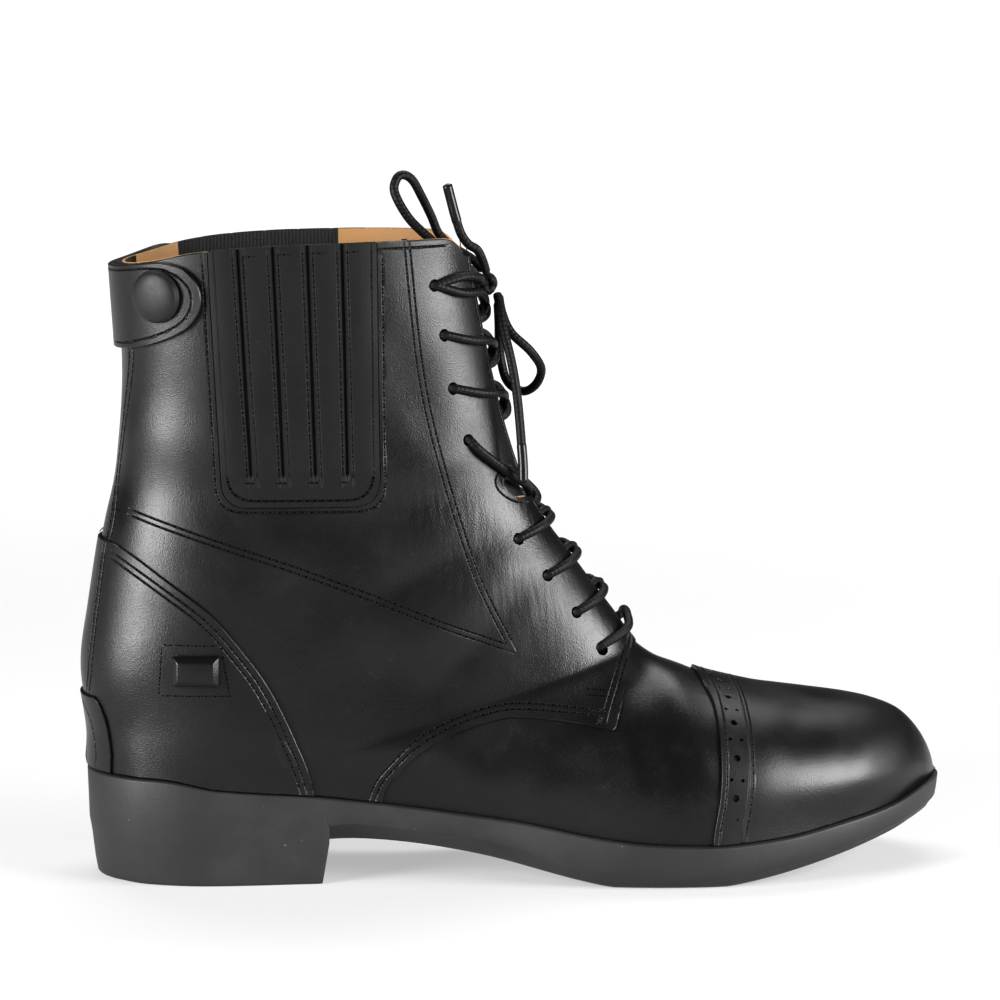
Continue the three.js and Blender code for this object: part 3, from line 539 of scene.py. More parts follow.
def sideLine(rows):
    return [(run(a), level(b)) for a, b in rows]


def smoothLine(points, step=1.2):
    dense = []
    for i in range(len(points) - 1):
        p0, p1, p2, p3 = (Vector(points[min(max(k, 0), len(points) - 1)]) for k in (i - 1, i, i + 1, i + 2))
        count = max(1, round((p2 - p1).length / step))
        for k in range(count):
            t = k / count
            dense.append(0.5 * (2 * p1 + (p2 - p0) * t + (2 * p0 - 5 * p1 + 4 * p2 - p3) * t * t
                                + (3 * p1 - p0 - 3 * p2 + p3) * t ** 3))
    return dense + [Vector(points[-1])]


def softened(points, reach=5, passes=3):  # the dense line with its corners rounded
    for _ in range(passes):
        inner = []
        for i in range(1, len(points) - 1):
            near = [points[min(max(i + k, 0), len(points) - 1)] for k in range(-reach, reach + 1)]
            inner.append(sum(near, Vector((0, 0))) / len(near))
        points = [points[0]] + inner + [points[-1]]
    return points


def shapeField(outline2d):  # signed distance to a closed outline, above 0 inside
    points = [Vector(p[:2]) for p in outline2d]
    lowX, highX = min(p.x for p in points) - 6, max(p.x for p in points) + 6
    lowZ, highZ = min(p.y for p in points) - 6, max(p.y for p in points) + 6
    pairs = [
        (a, b, b - a, max((b - a).length_squared, 1e-9)) for a, b in zip(points, points[1:] + points[:1])
    ]

    def field(co):
        x, z = co.x, co.z
        if not (lowX < x < highX and lowZ < z < highZ):
            return -6.0
        best, inside = 1e9, False
        for a, b, d, square in pairs:
            t = min(max(((x - a.x) * d.x + (z - a.y) * d.y) / square, 0), 1)
            ex, ez = x - a.x - t * d.x, z - a.y - t * d.y
            best = min(best, ex * ex + ez * ez)
            if (a.y > z) != (b.y > z) and x < a.x + (z - a.y) / (b.y - a.y) * d.x:
                inside = not inside
        return math.sqrt(best) if inside else -math.sqrt(best)

    return field


collarLine = sideLine([
    (-0.25, 1.928), (-0.125, 1.933), (-0.076, 1.946), (-0.017, 1.974), (0.059, 1.99), (0.156, 1.997),
    (0.26, 2), (0.275, 1.996), (0.285, 1.98), (0.293, 1.955), (0.34, 1.95),
])
quarterLine = sideLine([
    (0.19, 0.3), (0.198, 0.41), (0.215, 0.49), (0.238, 0.57), (0.273, 0.641), (0.318, 0.695),
    (0.353, 0.708), (0.41, 0.686), (0.457, 0.658), (0.471, 0.791), (0.483, 0.894), (0.51, 1.05),
])
capLine = sideLine([
    (0.562, 0), (0.567, 0.23), (0.5735, 0.377), (0.5768, 0.538), (0.5755, 0.749), (0.5655, 0.847),
    (0.563, 1.05),
])
counterLine = sideLine([
    (0.128, 0), (0.1135, 0.411), (0.0931, 0.631), (0.0651, 0.846), (0.0371, 0.996), (-0.0019, 1.096),
    (-0.052, 1.178), (-0.0966, 1.243), (-0.13, 1.262), (-0.25, 1.27),
])
patchLine = sideLine([
    (-0.118, 0), (-0.1165, 0.471), (-0.1163, 0.558), (-0.1215, 0.686), (-0.1327, 0.777),
    (-0.145, 0.785), (-0.25, 0.785),
])
strapOuterLine = sideLine([
    (-0.25, 1.725), (-0.1028, 1.731), (-0.077, 1.742), (-0.055, 1.758), (-0.027, 1.784), (-0.0122, 1.813),
    (-0.0042, 1.88), (-0.0149, 1.921), (-0.0372, 1.949), (-0.0538, 1.956), (-0.1146, 1.933), (-0.25, 1.93),
])
strapInnerLine = sideLine([
    (-0.25, 1.725), (-0.1028, 1.731), (-0.04, 1.765), (-0.035, 1.955), (-0.1146, 1.933), (-0.25, 1.93),
])
panel = {
    "back": -0.0065, "backLow": 0.012, "front": 0.187, "frontLow": 0.191, "bottom": 1.356, "corner": 9,
    "strips": 5, "stripLow": 1.43, "cellsAcross": 240, "cellsUp": 56,
    "rowBeside": 1.7, "rowPitch": 3.7, "thickness": 0.7,
}
throat = {"bottom": 1.025, "corner": 2.5}
notch = {"rise": 1.387, "width": 8.0, "depth": 10}
eyelets = {"rises": [0.962, 1.073, 1.166, 1.258, 1.506, 1.635, 1.766, 1.888], "size": 3.8, "setback": 13}


def lineAt(line, column):
    places = [p[column] for p in line]
    values = [p[1 - column] for p in line]
    return lambda at: curveThrough(places, values, at)


collarTop = lineAt(collarLine, 0)
capEdge = lineAt(capLine, 1)


def throatHalf(z):
    low, high = last["throatHeight"], last["collarHeight"]
    return mix(last["throatGapLow"], last["throatGapHigh"], (z - low) / (high - low)) / 2


def throatField(co):  # above 0 outside the opening between the facings
    if co.x < run(0.15):
        return 9.0
    beside = abs(co.y) - throatHalf(co.z)
    below = level(throat["bottom"]) - throat["corner"] * 0.5 - co.z
    return max(beside, below)


def notchField(co):  # above 0 outside the notches at the ankle
    if co.x < run(0.15):
        return 9.0
    z = level(notch["rise"])
    radius = notch["width"] / 2
    reach = throatHalf(z) + notch["depth"] - radius
    y = abs(co.y)
    flare = 1.0 * max(0, 1 - y / (throatHalf(z) + 3))
    return math.hypot(max(y - reach, 0), co.z - z) - radius - flare


def eyeletSpots(side):
    heights = [level(rise) for rise in eyelets["rises"]]
    return [onFront(side * (throatHalf(z) + eyelets["setback"]), z, 1.0) for z in heights]


eyeletPoints = [spot for side in (-1, 1) for spot in eyeletSpots(side)]


def eyeletField(co):
    best = 9.0
    for point, out in eyeletPoints:
        away = co - point
        if abs(away.x) < 9 and abs(away.y) < 9 and abs(away.z) < 9:
            best = min(best, (away - out * away.dot(out)).length - eyelets["size"] / 2)
    return best


def panelOutline(grow):
    bottom = level(panel["bottom"]) - grow
    back, front = run(panel["backLow"]) - grow, run(panel["frontLow"]) + grow
    r = panel["corner"]
    points = [Vector((run(panel["back"]) - grow, level(2.2))), Vector((back, bottom + r))]
    for k in range(1, 9):
        t = k / 8
        points.append(Vector((back + r * t * t, bottom + r * (1 - t) ** 2)))
    for k in range(0, 9):
        t = k / 8
        points.append(Vector((front - r * (1 - t) ** 2, bottom + r * t * t)))
    points.append(Vector((run(panel["front"]) + grow, level(2.2))))
    return points


panelFields = {grow: shapeField(panelOutline(grow)) for grow in (0, 1.0)}
quarterField = shapeField(
    [(-400, -400), (run(0.185), -400)]
    + [tuple(p) for p in smoothLine(quarterLine[:9]) + smoothLine(quarterLine[8:])]
    + [(run(0.6), 400), (-400, 400)]
)


# seams: a line on the leather, its stitches, and the groove that the thread draws

thread = {"pitch": 2.6, "length": 1.85, "width": 0.5, "height": 0.36, "sunk": 0.04}
# near-black dots of painted shade that stand for the needle holes
needleHoleShade = {"length": 0.84, "width": 0.68, "height": 0.2, "sunk": 0.02}
grooveReach = {"near": 2.0, "far": 3.5}


def walkSeam(spots):  # even steps along spots of (point, out): point, out, along, beside
    steps = []
    for k in range(len(spots) - 1):
        (a, outA), (b, outB) = spots[k], spots[k + 1]
        count = max(1, round((b - a).length / 0.5))
        for j in range(count):
            t = j / count
            steps.append((a.lerp(b, t), outA.lerp(outB, t).normalized()))
    steps.append(spots[-1])
    walked = []
    for k, (point, out) in enumerate(steps):
        along = (steps[min(k + 2, len(steps) - 1)][0] - steps[max(k - 2, 0)][0]).normalized()
        walked.append((point, out, along, out.cross(along).normalized()))
    return walked


def seamField(seams, gap=0.0):  # distance to the nearest seam, in half gaps of its rows, and how near it is
    walked = [step + (k in (0, len(seam) - 1),) for seam in seams for k, step in enumerate(seam)]
    tree = KDTree(len(walked))
    for index, step in enumerate(walked):
        tree.insert(step[0], index)
    tree.balance()

    def field(co):
        spot, index, away = tree.find(co)
        point, out, along, beside, isEnd = walked[index]
        offset = co - point
        d = offset.dot(beside)
        past = max(abs(offset.dot(along)) - 1.0, 0) if isEnd else 0
        far = grooveReach["far"]
        near = smoothStep((far - math.hypot(d, past * 2)) / (far - grooveReach["near"]))
        if gap:
            return max(-4.0, min(4.0, d)) / (gap / 2), near
        return max(min(4.0, d) + 1.0, 0.0), near

    return field


def setGrooves(bm, fields):  # read by a bump and by the painted shade of the groove: a groove lies where "grooves" is 1 or -1, near a seam
    grooves = bm.verts.layers.float_vector.new("grooves")
    nearSeam = bm.verts.layers.float_vector.new("nearSeam")
    for v in bm.verts:
        values = [field(v.co) for field in fields] + [(9.0, 0.0)] * (3 - len(fields))
        v[grooves] = Vector([value for value, near in values])
        v[nearSeam] = Vector([near for value, near in values])


stitchRows = []  # (walked seam, offset, pitch) of every row


def sew(seams, offsets=(0,), pitch=None):
    for seam in seams:
        for offset in offsets:
            stitchRows.append((seam, offset, pitch or thread["pitch"]))


def sewDouble(seams, gap, pitch=None):
    sew(seams, (-gap / 2, gap / 2), pitch)


def makeStitches(rows):  # the thread, and dark dots of painted shade where it goes down into its needle holes
    threads, holes = bmesh.new(), bmesh.new()
    for seam, offset, pitch in rows:
        walked = 0.0
        longer = pitch / thread["pitch"]
        for k in range(1, len(seam)):
            point, out, along, beside = seam[k]
            before = walked
            walked += (point - seam[k - 1][0]).length
            turn = Matrix((along, beside, out)).transposed().to_4x4()
            for bm, start, mark, stretch in ((threads, 0.5, thread, longer), (holes, 1.0, needleHoleShade, 1.0)):
                place = (max(math.ceil(before / pitch - start), 0) + start) * pitch
                if before <= place < walked:
                    spot = point + beside * offset - out * mark["sunk"]
                    half = (mark["length"] * stretch / 2, mark["width"] / 2, mark["height"] / 2, 1)
                    matrix = Matrix.Translation(spot) @ turn @ Matrix.Diagonal(half)
                    bmesh.ops.create_icosphere(bm, subdivisions=1, radius=1, matrix=matrix)
    bootPiece(threads, "stitches", [threadMaterial()], (), "lace", 180)
    bootPiece(holes, "needleHoleShades", [holeShadeMaterial()], (), "lace", 180)


def seamOnSide(points, side, lift, step=2.0):
    spots = [onSide(p[0], p[1], side, lift) for p in smoothLine(points, step)]
    return walkSeam([s for s in spots if s and rim(s[0].x) + 1.5 < s[0].z < collarTop(s[0].x) - 1.2])


def seamAcross(edge, shift, lift, low, high, centreZ, centreY=0.0, count=90):  # over the top, side to side
    spots = []
    for k in range(count + 1):
        angle = mix(low, high, k / count)
        z = centreZ
        for _ in range(6):
            x = edge(z) + shift
            hit, inward = seen((x, centreY, centreZ), (0, math.sin(angle), math.cos(angle)))
            z = hit.z
        spots.append((hit - inward * lift, -inward))
    return walkSeam(spots)


def offsetLine(points, distance):  # the line moved aside in the side view
    moved = []
    for k, p in enumerate(points):
        a, b = points[max(k - 1, 0)], points[min(k + 1, len(points) - 1)]
        along = Vector((b[0] - a[0], b[1] - a[1])).normalized()
        moved.append((p[0] - along.y * distance, p[1] + along.x * distance))
    return moved


# materials

def newTree(name):
    material = bpy.data.materials.new(name)
    material.use_nodes = True
    return material, material.node_tree


def addNode(tree, kind, inputs=None, **settings):
    made = tree.nodes.new(kind)
    for key, value in settings.items():
        setattr(made, key, value)
    fill(tree, made, inputs or {})
    return made


def fill(tree, node, inputs):  # links a socket, and sets a plain value
    for key, value in inputs.items():
        if isinstance(value, bpy.types.NodeSocket):
            tree.links.new(value, node.inputs[key])
        else:
            node.inputs[key].default_value = value


def finish(tree, inputs):
    fill(tree, tree.nodes["Principled BSDF"], inputs)


def calc(tree, operation, a, b=0.0):
    return addNode(tree, "ShaderNodeMath", {0: a, 1: b}, operation=operation).outputs[0]


def product(tree, *values):
    total = values[0]
    for value in values[1:]:
        total = calc(tree, "MULTIPLY", total, value)
    return total


def span(tree, value, low, high, toLow=0.0, toHigh=1.0):
    inputs = {"Value": value, "From Min": low, "From Max": high, "To Min": toLow, "To Max": toHigh}
    return addNode(tree, "ShaderNodeMapRange", inputs, interpolation_type="SMOOTHSTEP").outputs["Result"]


def mixColour(tree, factor, a, b):
    return addNode(tree, "ShaderNodeMix", {0: factor, 6: a, 7: b}, data_type="RGBA").outputs[2]


def objectPlace(tree):
    return addNode(tree, "ShaderNodeTexCoord").outputs["Object"]


def axes(tree, vector):
    return addNode(tree, "ShaderNodeSeparateXYZ", {"Vector": vector}).outputs


def stretched(tree, place, rotation, scale):
    inputs = {"Vector": place, "Rotation": rotation, "Scale": scale}
    return addNode(tree, "ShaderNodeMapping", inputs).outputs["Vector"]


def noiseOf(tree, place, scale, detail=3.0, roughness=0.5):
    inputs = {"Vector": place, "Scale": scale, "Detail": detail, "Roughness": roughness}
    return addNode(tree, "ShaderNodeTexNoise", inputs).outputs["Fac"]


def cellsOf(tree, place, scale, feature):
    inputs = {"Vector": place, "Scale": scale}
    return addNode(tree, "ShaderNodeTexVoronoi", inputs, feature=feature).outputs["Distance"]


def bandsOf(tree, place, scale, distortion, direction):
    inputs = {"Vector": place, "Scale": scale, "Distortion": distortion, "Detail": 1.0}
    bands = addNode(tree, "ShaderNodeTexWave", inputs, wave_type="BANDS", bands_direction=direction)
    return bands.outputs["Fac"]


def bumpOf(tree, height, distance, strength=1.0, under=None):
    inputs = {"Height": height, "Distance": distance, "Strength": strength}
    if under is not None:
        inputs["Normal"] = under
    return addNode(tree, "ShaderNodeBump", inputs).outputs["Normal"]


def grey(value):
    return (value, value, value, 1)


calfLook = {
    "dark": 0.003, "light": 0.0065, "scuffed": 0.05, "shine": 0.29, "dull": 0.4, "specular": 0.42,
    "grain": 2700.0, "grainDepth": 0.00011, "fineDepth": 0.00012, "wave": 38.0, "waveDepth": 0.00045,
    "coat": 0.03, "coatRoughness": 0.2,
}
wrinkleLook = {"lean": -58, "scale": 430.0, "stretch": 0.16, "depth": 0.00022}
# grooveShade: how far a seam's groove is painted darker and duller, painted shade in the groove
grooveLook = {"width": 0.5, "depth": 0.0003, "dark": 0.002, "grooveShade": 0.35, "dull": 0.6}


def wrinklesOver(tree, place, normal):  # fine wrinkles up the facings, where the ankle bends
    bent = stretched(tree, place, (0, math.radians(wrinkleLook["lean"]), 0), (1, 1, wrinkleLook["stretch"]))
    lines = noiseOf(tree, bent, wrinkleLook["scale"], 2.0, 0.4)
    x, _, z = axes(tree, place)
    ahead = calc(tree, "ADD", x, calc(tree, "MULTIPLY", z, 0.62))
    zone = product(
        tree, span(tree, ahead, 0.128, 0.15), span(tree, ahead, 0.2, 0.178),
        span(tree, z, 0.062, 0.09), span(tree, z, 0.15, 0.12),
    )
    return bumpOf(tree, calc(tree, "MULTIPLY", lines, zone), wrinkleLook["depth"], 0.6, normal)


def flatOutside(tree):  # 1 on the plain leather, 0 in the groove of a seam
    channels, nearness = (
        axes(tree, addNode(tree, "ShaderNodeAttribute", attribute_name=name).outputs["Vector"])
        for name in ("grooves", "nearSeam")
    )
    rows = []
    for axis in "XYZ":
        away = calc(tree, "SUBTRACT", calc(tree, "ABSOLUTE", channels[axis]), 1.0)
        dip = span(tree, calc(tree, "ABSOLUTE", away), grooveLook["width"], 0.0)
        rows.append(calc(tree, "SUBTRACT", 1.0, calc(tree, "MULTIPLY", dip, nearness[axis])))
    return product(tree, *rows)


@cache
def calfMaterial(name, grooves=True, wrinkles=True, **changes):
    look = dict(calfLook, **changes)
    material, tree = newTree(name)
    place = objectPlace(tree)
    broad = noiseOf(tree, place, look["wave"], 2.0, 0.45)
    fine = noiseOf(tree, place, 310.0, 4.0, 0.6)
    cells = cellsOf(tree, place, look["grain"], "SMOOTH_F1")
    pores = noiseOf(tree, place, 2600.0, 2.0, 0.5)
    rub = span(tree, noiseOf(tree, place, 95.0, 6.0, 0.65), 0.5, 0.72)
    lines = cellsOf(tree, stretched(tree, place, (0.3, 0.5, 0.2), (1, 0.12, 1)), 120.0, "DISTANCE_TO_EDGE")
    scratch = product(tree, span(tree, lines, 0.012, 0.0), rub, 0.25)
    grain = calc(tree, "ADD", calc(tree, "MULTIPLY", cells, 0.7), calc(tree, "MULTIPLY", pores, 0.3))
    normal = bumpOf(tree, broad, look["waveDepth"], 0.8)
    if wrinkles:
        normal = wrinklesOver(tree, place, normal)
    normal = bumpOf(tree, grain, look["grainDepth"], 0.75, normal)
    normal = bumpOf(tree, fine, look["fineDepth"], 0.4, normal)
    grooveShade = 0.0
    if grooves:
        flat = flatOutside(tree)
        normal = bumpOf(tree, flat, grooveLook["depth"], 1.0, normal)
        # the groove of a seam is painted darker: painted shade in the groove
        grooveShade = calc(tree, "MULTIPLY", calc(tree, "SUBTRACT", 1.0, flat), grooveLook["grooveShade"])
    tone = mixColour(tree, fine, grey(look["dark"]), grey(look["light"]))
    tone = mixColour(tree, scratch, tone, grey(look["scuffed"]))
    dull = span(tree, broad, 0.3, 0.7, look["shine"], look["dull"])
    dull = calc(tree, "ADD", dull, calc(tree, "MULTIPLY", rub, 0.07))
    finish(tree, {
        "Base Color": mixColour(tree, grooveShade, tone, grey(grooveLook["dark"])),
        "Roughness": calc(tree, "ADD", dull, calc(tree, "MULTIPLY", grooveShade, grooveLook["dull"])),
        "Specular IOR Level": look["specular"], "Coat Weight": look["coat"],
        "Coat Roughness": look["coatRoughness"], "Normal": normal, "Coat Normal": normal,
    })
    return material


@cache
def rubberMaterial():
    material, tree = newTree("soleRubber")
    place = objectPlace(tree)
    cloud = noiseOf(tree, place, 26.0, 5.0, 0.6)
    grit = noiseOf(tree, place, 1500.0, 3.0, 0.6)
    specks = span(tree, cellsOf(tree, place, 150.0, "F1"), 0.055, 0.03)
    dots = calc(tree, "MULTIPLY", specks, span(tree, noiseOf(tree, place, 40.0), 0.5, 0.62))
    dust = span(tree, noiseOf(tree, place, 12.0, 6.0, 0.7), 0.52, 0.75)
    tone = mixColour(tree, cloud, (0.0155, 0.0157, 0.0165, 1), (0.024, 0.0243, 0.0255, 1))
    tone = mixColour(tree, calc(tree, "MULTIPLY", dust, 0.16), tone, (0.11, 0.105, 0.1, 1))
    tone = mixColour(tree, calc(tree, "MULTIPLY", dots, 0.7), tone, (0.2, 0.19, 0.18, 1))
    normal = bumpOf(tree, grit, 0.00009, 0.7)
    normal = bumpOf(tree, noiseOf(tree, place, 190.0, 2.0), 0.00015, 0.6, normal)
    normal = bumpOf(tree, dots, 0.0002, 0.6, normal)
    finish(tree, {"Base Color": tone, "Roughness": span(tree, cloud, 0.3, 0.7, 0.5, 0.64), "Normal": normal})
    return material


@cache
def liningMaterial():
    material, tree = newTree("tanLining")
    place = objectPlace(tree)
    cloud = noiseOf(tree, place, 55.0, 5.0, 0.6)
    nap = noiseOf(tree, place, 900.0, 4.0, 0.65)
    tone = mixColour(tree, cloud, (0.36, 0.2, 0.085, 1), (0.47, 0.29, 0.13, 1))
    tone = mixColour(tree, calc(tree, "MULTIPLY", nap, 0.35), tone, (0.36, 0.18, 0.06, 1))
    normal = bumpOf(tree, cloud, 0.0006, 0.5, bumpOf(tree, nap, 0.00014, 0.8))
    finish(tree, {"Base Color": tone, "Roughness": 0.72, "Normal": normal})
    return material


@cache
def elasticMaterial():
    material, tree = newTree("blackElastic")
    place = objectPlace(tree)
    rib = bandsOf(tree, place, 260.0, 0.25, "X")
    cross = bandsOf(tree, place, 520.0, 0.6, "Z")
    weave = calc(tree, "MULTIPLY", rib, calc(tree, "ADD", calc(tree, "MULTIPLY", cross, 0.5), 0.5))
    # darker in the weave's hollows than on its ribs: painted shade between the ribs
    tone = mixColour(tree, weave, grey(0.002), grey(0.009))
    finish(tree, {"Base Color": tone, "Roughness": 0.7, "Normal": bumpOf(tree, weave, 0.0004)})
    return material


@cache
def threadMaterial():
    material, tree = newTree("blackThread")
    fibre = noiseOf(tree, objectPlace(tree), 2400.0, 2.0)
    finish(tree, {
        "Base Color": mixColour(tree, fibre, grey(0.002), grey(0.007)), "Roughness": 0.75,
        "Specular IOR Level": 0.15, "Normal": bumpOf(tree, fibre, 0.0001, 0.6),
    })
    return material


# near-black and unreflecting: painted shade for the needle holes
@cache
def holeShadeMaterial():
    material, tree = newTree("needleHoleShade")
    tone = mixColour(tree, noiseOf(tree, objectPlace(tree), 900.0), grey(0.0005), grey(0.0015))
    finish(tree, {"Base Color": tone, "Roughness": 1.0, "Specular IOR Level": 0.0})
    return material


@cache
def laceMaterial():  # a flat braid drawn on the tube's own UV map
    material, tree = newTree("waxedLace")
    u, v, _ = axes(tree, addNode(tree, "ShaderNodeTexCoord").outputs["UV"])
    turn, pull = calc(tree, "MULTIPLY", v, 12 * math.pi), calc(tree, "MULTIPLY", u, 2 * math.pi)
    one, two = (calc(tree, "SINE", calc(tree, way, turn, pull)) for way in ("ADD", "SUBTRACT"))
    braid = calc(tree, "ADD", product(tree, one, two, 0.5), 0.5)
    fibre = noiseOf(tree, objectPlace(tree), 1900.0, 3.0, 0.6)
    # the braid's hollows are painted darker than its strands: painted shade between the strands
    finish(tree, {
        "Base Color": mixColour(tree, braid, grey(0.002), grey(0.008)),
        "Roughness": span(tree, fibre, 0.2, 0.8, 0.38, 0.62), "Specular IOR Level": 0.22,
        "Normal": bumpOf(tree, fibre, 0.00012, 0.5, bumpOf(tree, braid, 0.00016, 0.8)),
    })
    return material


@cache
def lacquerMaterial(name, rough, tone):
    material, tree = newTree(name)
    haze = noiseOf(tree, objectPlace(tree), 420.0, 4.0, 0.6)
    finish(tree, {
        "Base Color": mixColour(tree, haze, grey(tone), grey(tone * 1.6)),
        "Roughness": span(tree, haze, 0.3, 0.8, rough, rough + 0.12), "Specular IOR Level": 0.3,
        "Normal": bumpOf(tree, haze, 0.00003, 0.5),
    })
    return material


def floorMaterial():  # pale, glowing softly, and darker in front so that the near side stays black
    material, tree = newTree("paleFloor")
    place = objectPlace(tree)
    away = addNode(tree, "ShaderNodeVectorMath", {0: place}, operation="LENGTH").outputs["Value"]
    ahead = axes(tree, place)["Y"]
    lit = calc(tree, "MAXIMUM", span(tree, ahead, -1.0, -0.35, studio["dark"], 1.0),
               span(tree, ahead, -2.6, -4.0, studio["dark"], 1.0))
    tone = mixColour(tree, noiseOf(tree, place, 3.0), grey(studio["floor"]), grey(studio["floor"] + 0.01))
    finish(tree, {
        "Base Color": tone, "Roughness": 0.9, "Specular IOR Level": 0.1, "Emission Color": (1, 1, 1, 1),
        "Emission Strength": calc(tree, "MULTIPLY", span(tree, away, 0.4, 1.8, *studio["glow"]), lit),
    })
    return material


makeCamera()
makeStudio()
print("camera and studio ready")


# the lace: free ends and loops of the bow first, as cords

lace = {
    "size": 3.0, "lift": 2.3, "sides": 12, "step": 0.8, "round": 1.2,
    "tipLength": 14.0, "tipSize": 3.3, "tipSides": 16, "tipLip": 0.5, "lipLength": 0.9,
}
knot = {"centre": Vector((92.8, 0, 195.4)), "turns": 1.7, "steps": 22, "halfWidth": 2.1}
bowRoutes = {
    "lace_loop_upper": [
        (91.9, 1.8, 199.5), (87.9, 2.8, 203.4), (81.5, 3.2, 207.5), (77, 3, 211.7), (74.4, 3, 217.7),
        (71.3, 2, 224), (68.3, 1, 229.4), (65.6, 0, 231.4), (63.2, -1, 230.9), (61.8, -2, 227.3),
        (63.1, -3, 223.1), (66.7, -3, 217.3), (70.9, -3, 213), (76, -2.5, 208.5), (81.5, -1.8, 204.3),
        (86.4, -1.2, 200.8),
    ],
    "lace_end_upper": [
        (92.3, -2.3, 199.1), (91, -3.9, 203.2), (89, -5.4, 207), (86, -6.2, 209), (83.5, -6.5, 212.6),
        (81.7, -6.5, 218.2), (80.3, -6.5, 223.5), (78.9, -7, 228.9),
    ],
    "lace_loop_lower": [
        (96.4, -2.2, 191.6), (97.2, -6, 186), (100, -8, 179.8), (106.5, -7, 173.5), (110.5, -2, 167.3),
        (109.6, 3, 161.8), (106.2, 6, 158.8), (102.6, 9, 159.5), (100, 12, 162.4), (98.6, 13.5, 168),
        (97.8, 12.5, 174), (97.4, 9, 181), (96.6, 3.6, 188.6),
    ],
    "lace_end_lower": [
        (95.6, -5, 192.6), (96.4, -9, 187.6), (97.2, -12.6, 181), (99, -15, 173), (100.4, -16, 165.5),
        (101.4, -16.5, 158), (102, -17.5, 151), (102.4, -19, 144.5), (102.8, -20.5, 137.5),
        (102.8, -21.5, 131.5),
    ],
}


def pathLength(path):
    return sum((b - a).length for a, b in zip(path, path[1:]))


def joined(bm, made):  # adds one bmesh to another
    mesh = bpy.data.meshes.new("joined")
    made.to_mesh(mesh)
    made.free()
    bm.from_mesh(mesh)
    bpy.data.meshes.remove(mesh)


def tubeMesh(path, sizeAt, sides):  # a closed tube; sizeAt gives the diameter at a share of its length
    count = len(path)
    frames, up = [], None
    for k in range(count):
        along = (path[min(k + 1, count - 1)] - path[max(k - 1, 0)]).normalized()
        up = along.orthogonal() if up is None else up - along * up.dot(along)
        up.normalize()
        frames.append((up.copy(), along.cross(up)))

    def place(s, t):
        share = s * (count + 1)
        k = min(max(round(share) - 1, 0), count - 1)
        radius = 0.0 if share < 0.5 or share > count + 0.5 else sizeAt(k / (count - 1)) / 2
        angle = t * 2 * math.pi
        a, b = frames[k]
        return path[k] + (a * math.cos(angle) + b * math.sin(angle)) * radius

    bm = mappedGrid(count + 1, sides, place)
    layer = bm.loops.layers.uv.active
    around = pathLength(path) / lace["size"]
    for face in bm.faces:
        for loop in face.loops:
            loop[layer].uv.x *= around
    bmesh.ops.remove_doubles(bm, verts=bm.verts[:], dist=0.001)
    bmesh.ops.recalc_face_normals(bm, faces=bm.faces[:])
    return bm


def rounded(away, reach, least):  # how wide a tube is so far from its round end
    return math.sqrt(max(least, 1 - max(0, 1 - away / reach) ** 2))


def strandMesh(route):
    path = [Vector(p) for p in smoothLine([Vector(p) for p in route], lace["step"])]
    length = pathLength(path)

    def sizeAt(share):
        return lace["size"] * rounded(min(share, 1 - share) * length, lace["round"], 0.12)

    return tubeMesh(path, sizeAt, lace["sides"]), path


def tipMesh(path):
    back = [p for k, p in enumerate(path) if pathLength(path[k:]) <= lace["tipLength"]]
    length = pathLength(back)

    def sizeAt(share):
        lip = lace["tipLip"] * max(0, 1 - share * length / lace["lipLength"])
        return lace["tipSize"] * rounded((1 - share) * length, 1.0, 0.1) - lip

    return tubeMesh(back, sizeAt, lace["tipSides"])


def makeBow():
    for node, route in bowRoutes.items():
        bm, path = strandMesh(route)
        name = "bow" + node.replace("lace", "").title().replace("_", "")
        piece = bootPiece(bm, name, [laceMaterial()], (node,), "lace", 180)
        isEnd = "end" in node
        tips = []
        if isEnd:
            tip = lacquerMaterial("tipPlastic", 0.2, 0.008)
            tips = [bootPiece(tipMesh(path), name + "Tip", [tip], (), "lace", 180)]
        pathLength(path) * mm
        [list(p * mm) for p in path]


makeBow()


# the knot, the tie and the crossings

def overFront(y, z, lift):
    return onFront(y, z, 1.0 + lift)[0]


def lacePiece(name, routes, node):
    bm = bmesh.new()
    for route in routes:
        joined(bm, strandMesh(route)[0])
    bootPiece(bm, name, [laceMaterial()], (node,), "lace", 180)


def intoHole(side, z):  # from under the facing up through an eyelet
    reach = throatHalf(z) + eyelets["setback"]
    out = onFront(side * reach, z)[1]
    hole = overFront(side * reach, z, -0.6)
    return [
        hole - out * 4.2 + Vector((0, side * 1.2, -0.5)), hole - out * 1.8,
        hole + out * 1.1 - Vector((0, side * 0.7, 0)),
    ]


crossing = {  # where a strand runs, as shares of the way down to the eyelet below
    "aboveNotch": 4, "low": (-0.05, -0.34, -0.44, -0.6), "high": (0.08, 0.2, 0.38, 0.6),
    "top": (0.14, 0.24, 0.52, 0.72),
}


def strandRoute(side, high, low, shares):
    start, edge, middle, end = shares
    heights = [mix(level(high), level(low), t) for t in (start, mix(start, edge, 0.5), edge, middle, end)]
    setback = eyelets["setback"]
    reach = [throatHalf(z) + setback for z in heights]
    return intoHole(side, level(high)) + [
        overFront(side * (reach[1] - setback * 0.42), heights[1], lace["lift"] - 0.5),
        overFront(side * (reach[2] - setback * 0.95), heights[2], lace["lift"] - 0.3),
        overFront(0, heights[3], 0.6),
        overFront(-side * (throatHalf(heights[4]) - lace["size"] * 0.9), heights[4], -0.4),
        overFront(-side * (throatHalf(heights[4]) + 3.5), heights[4] - 1.5, -3.6),
    ]


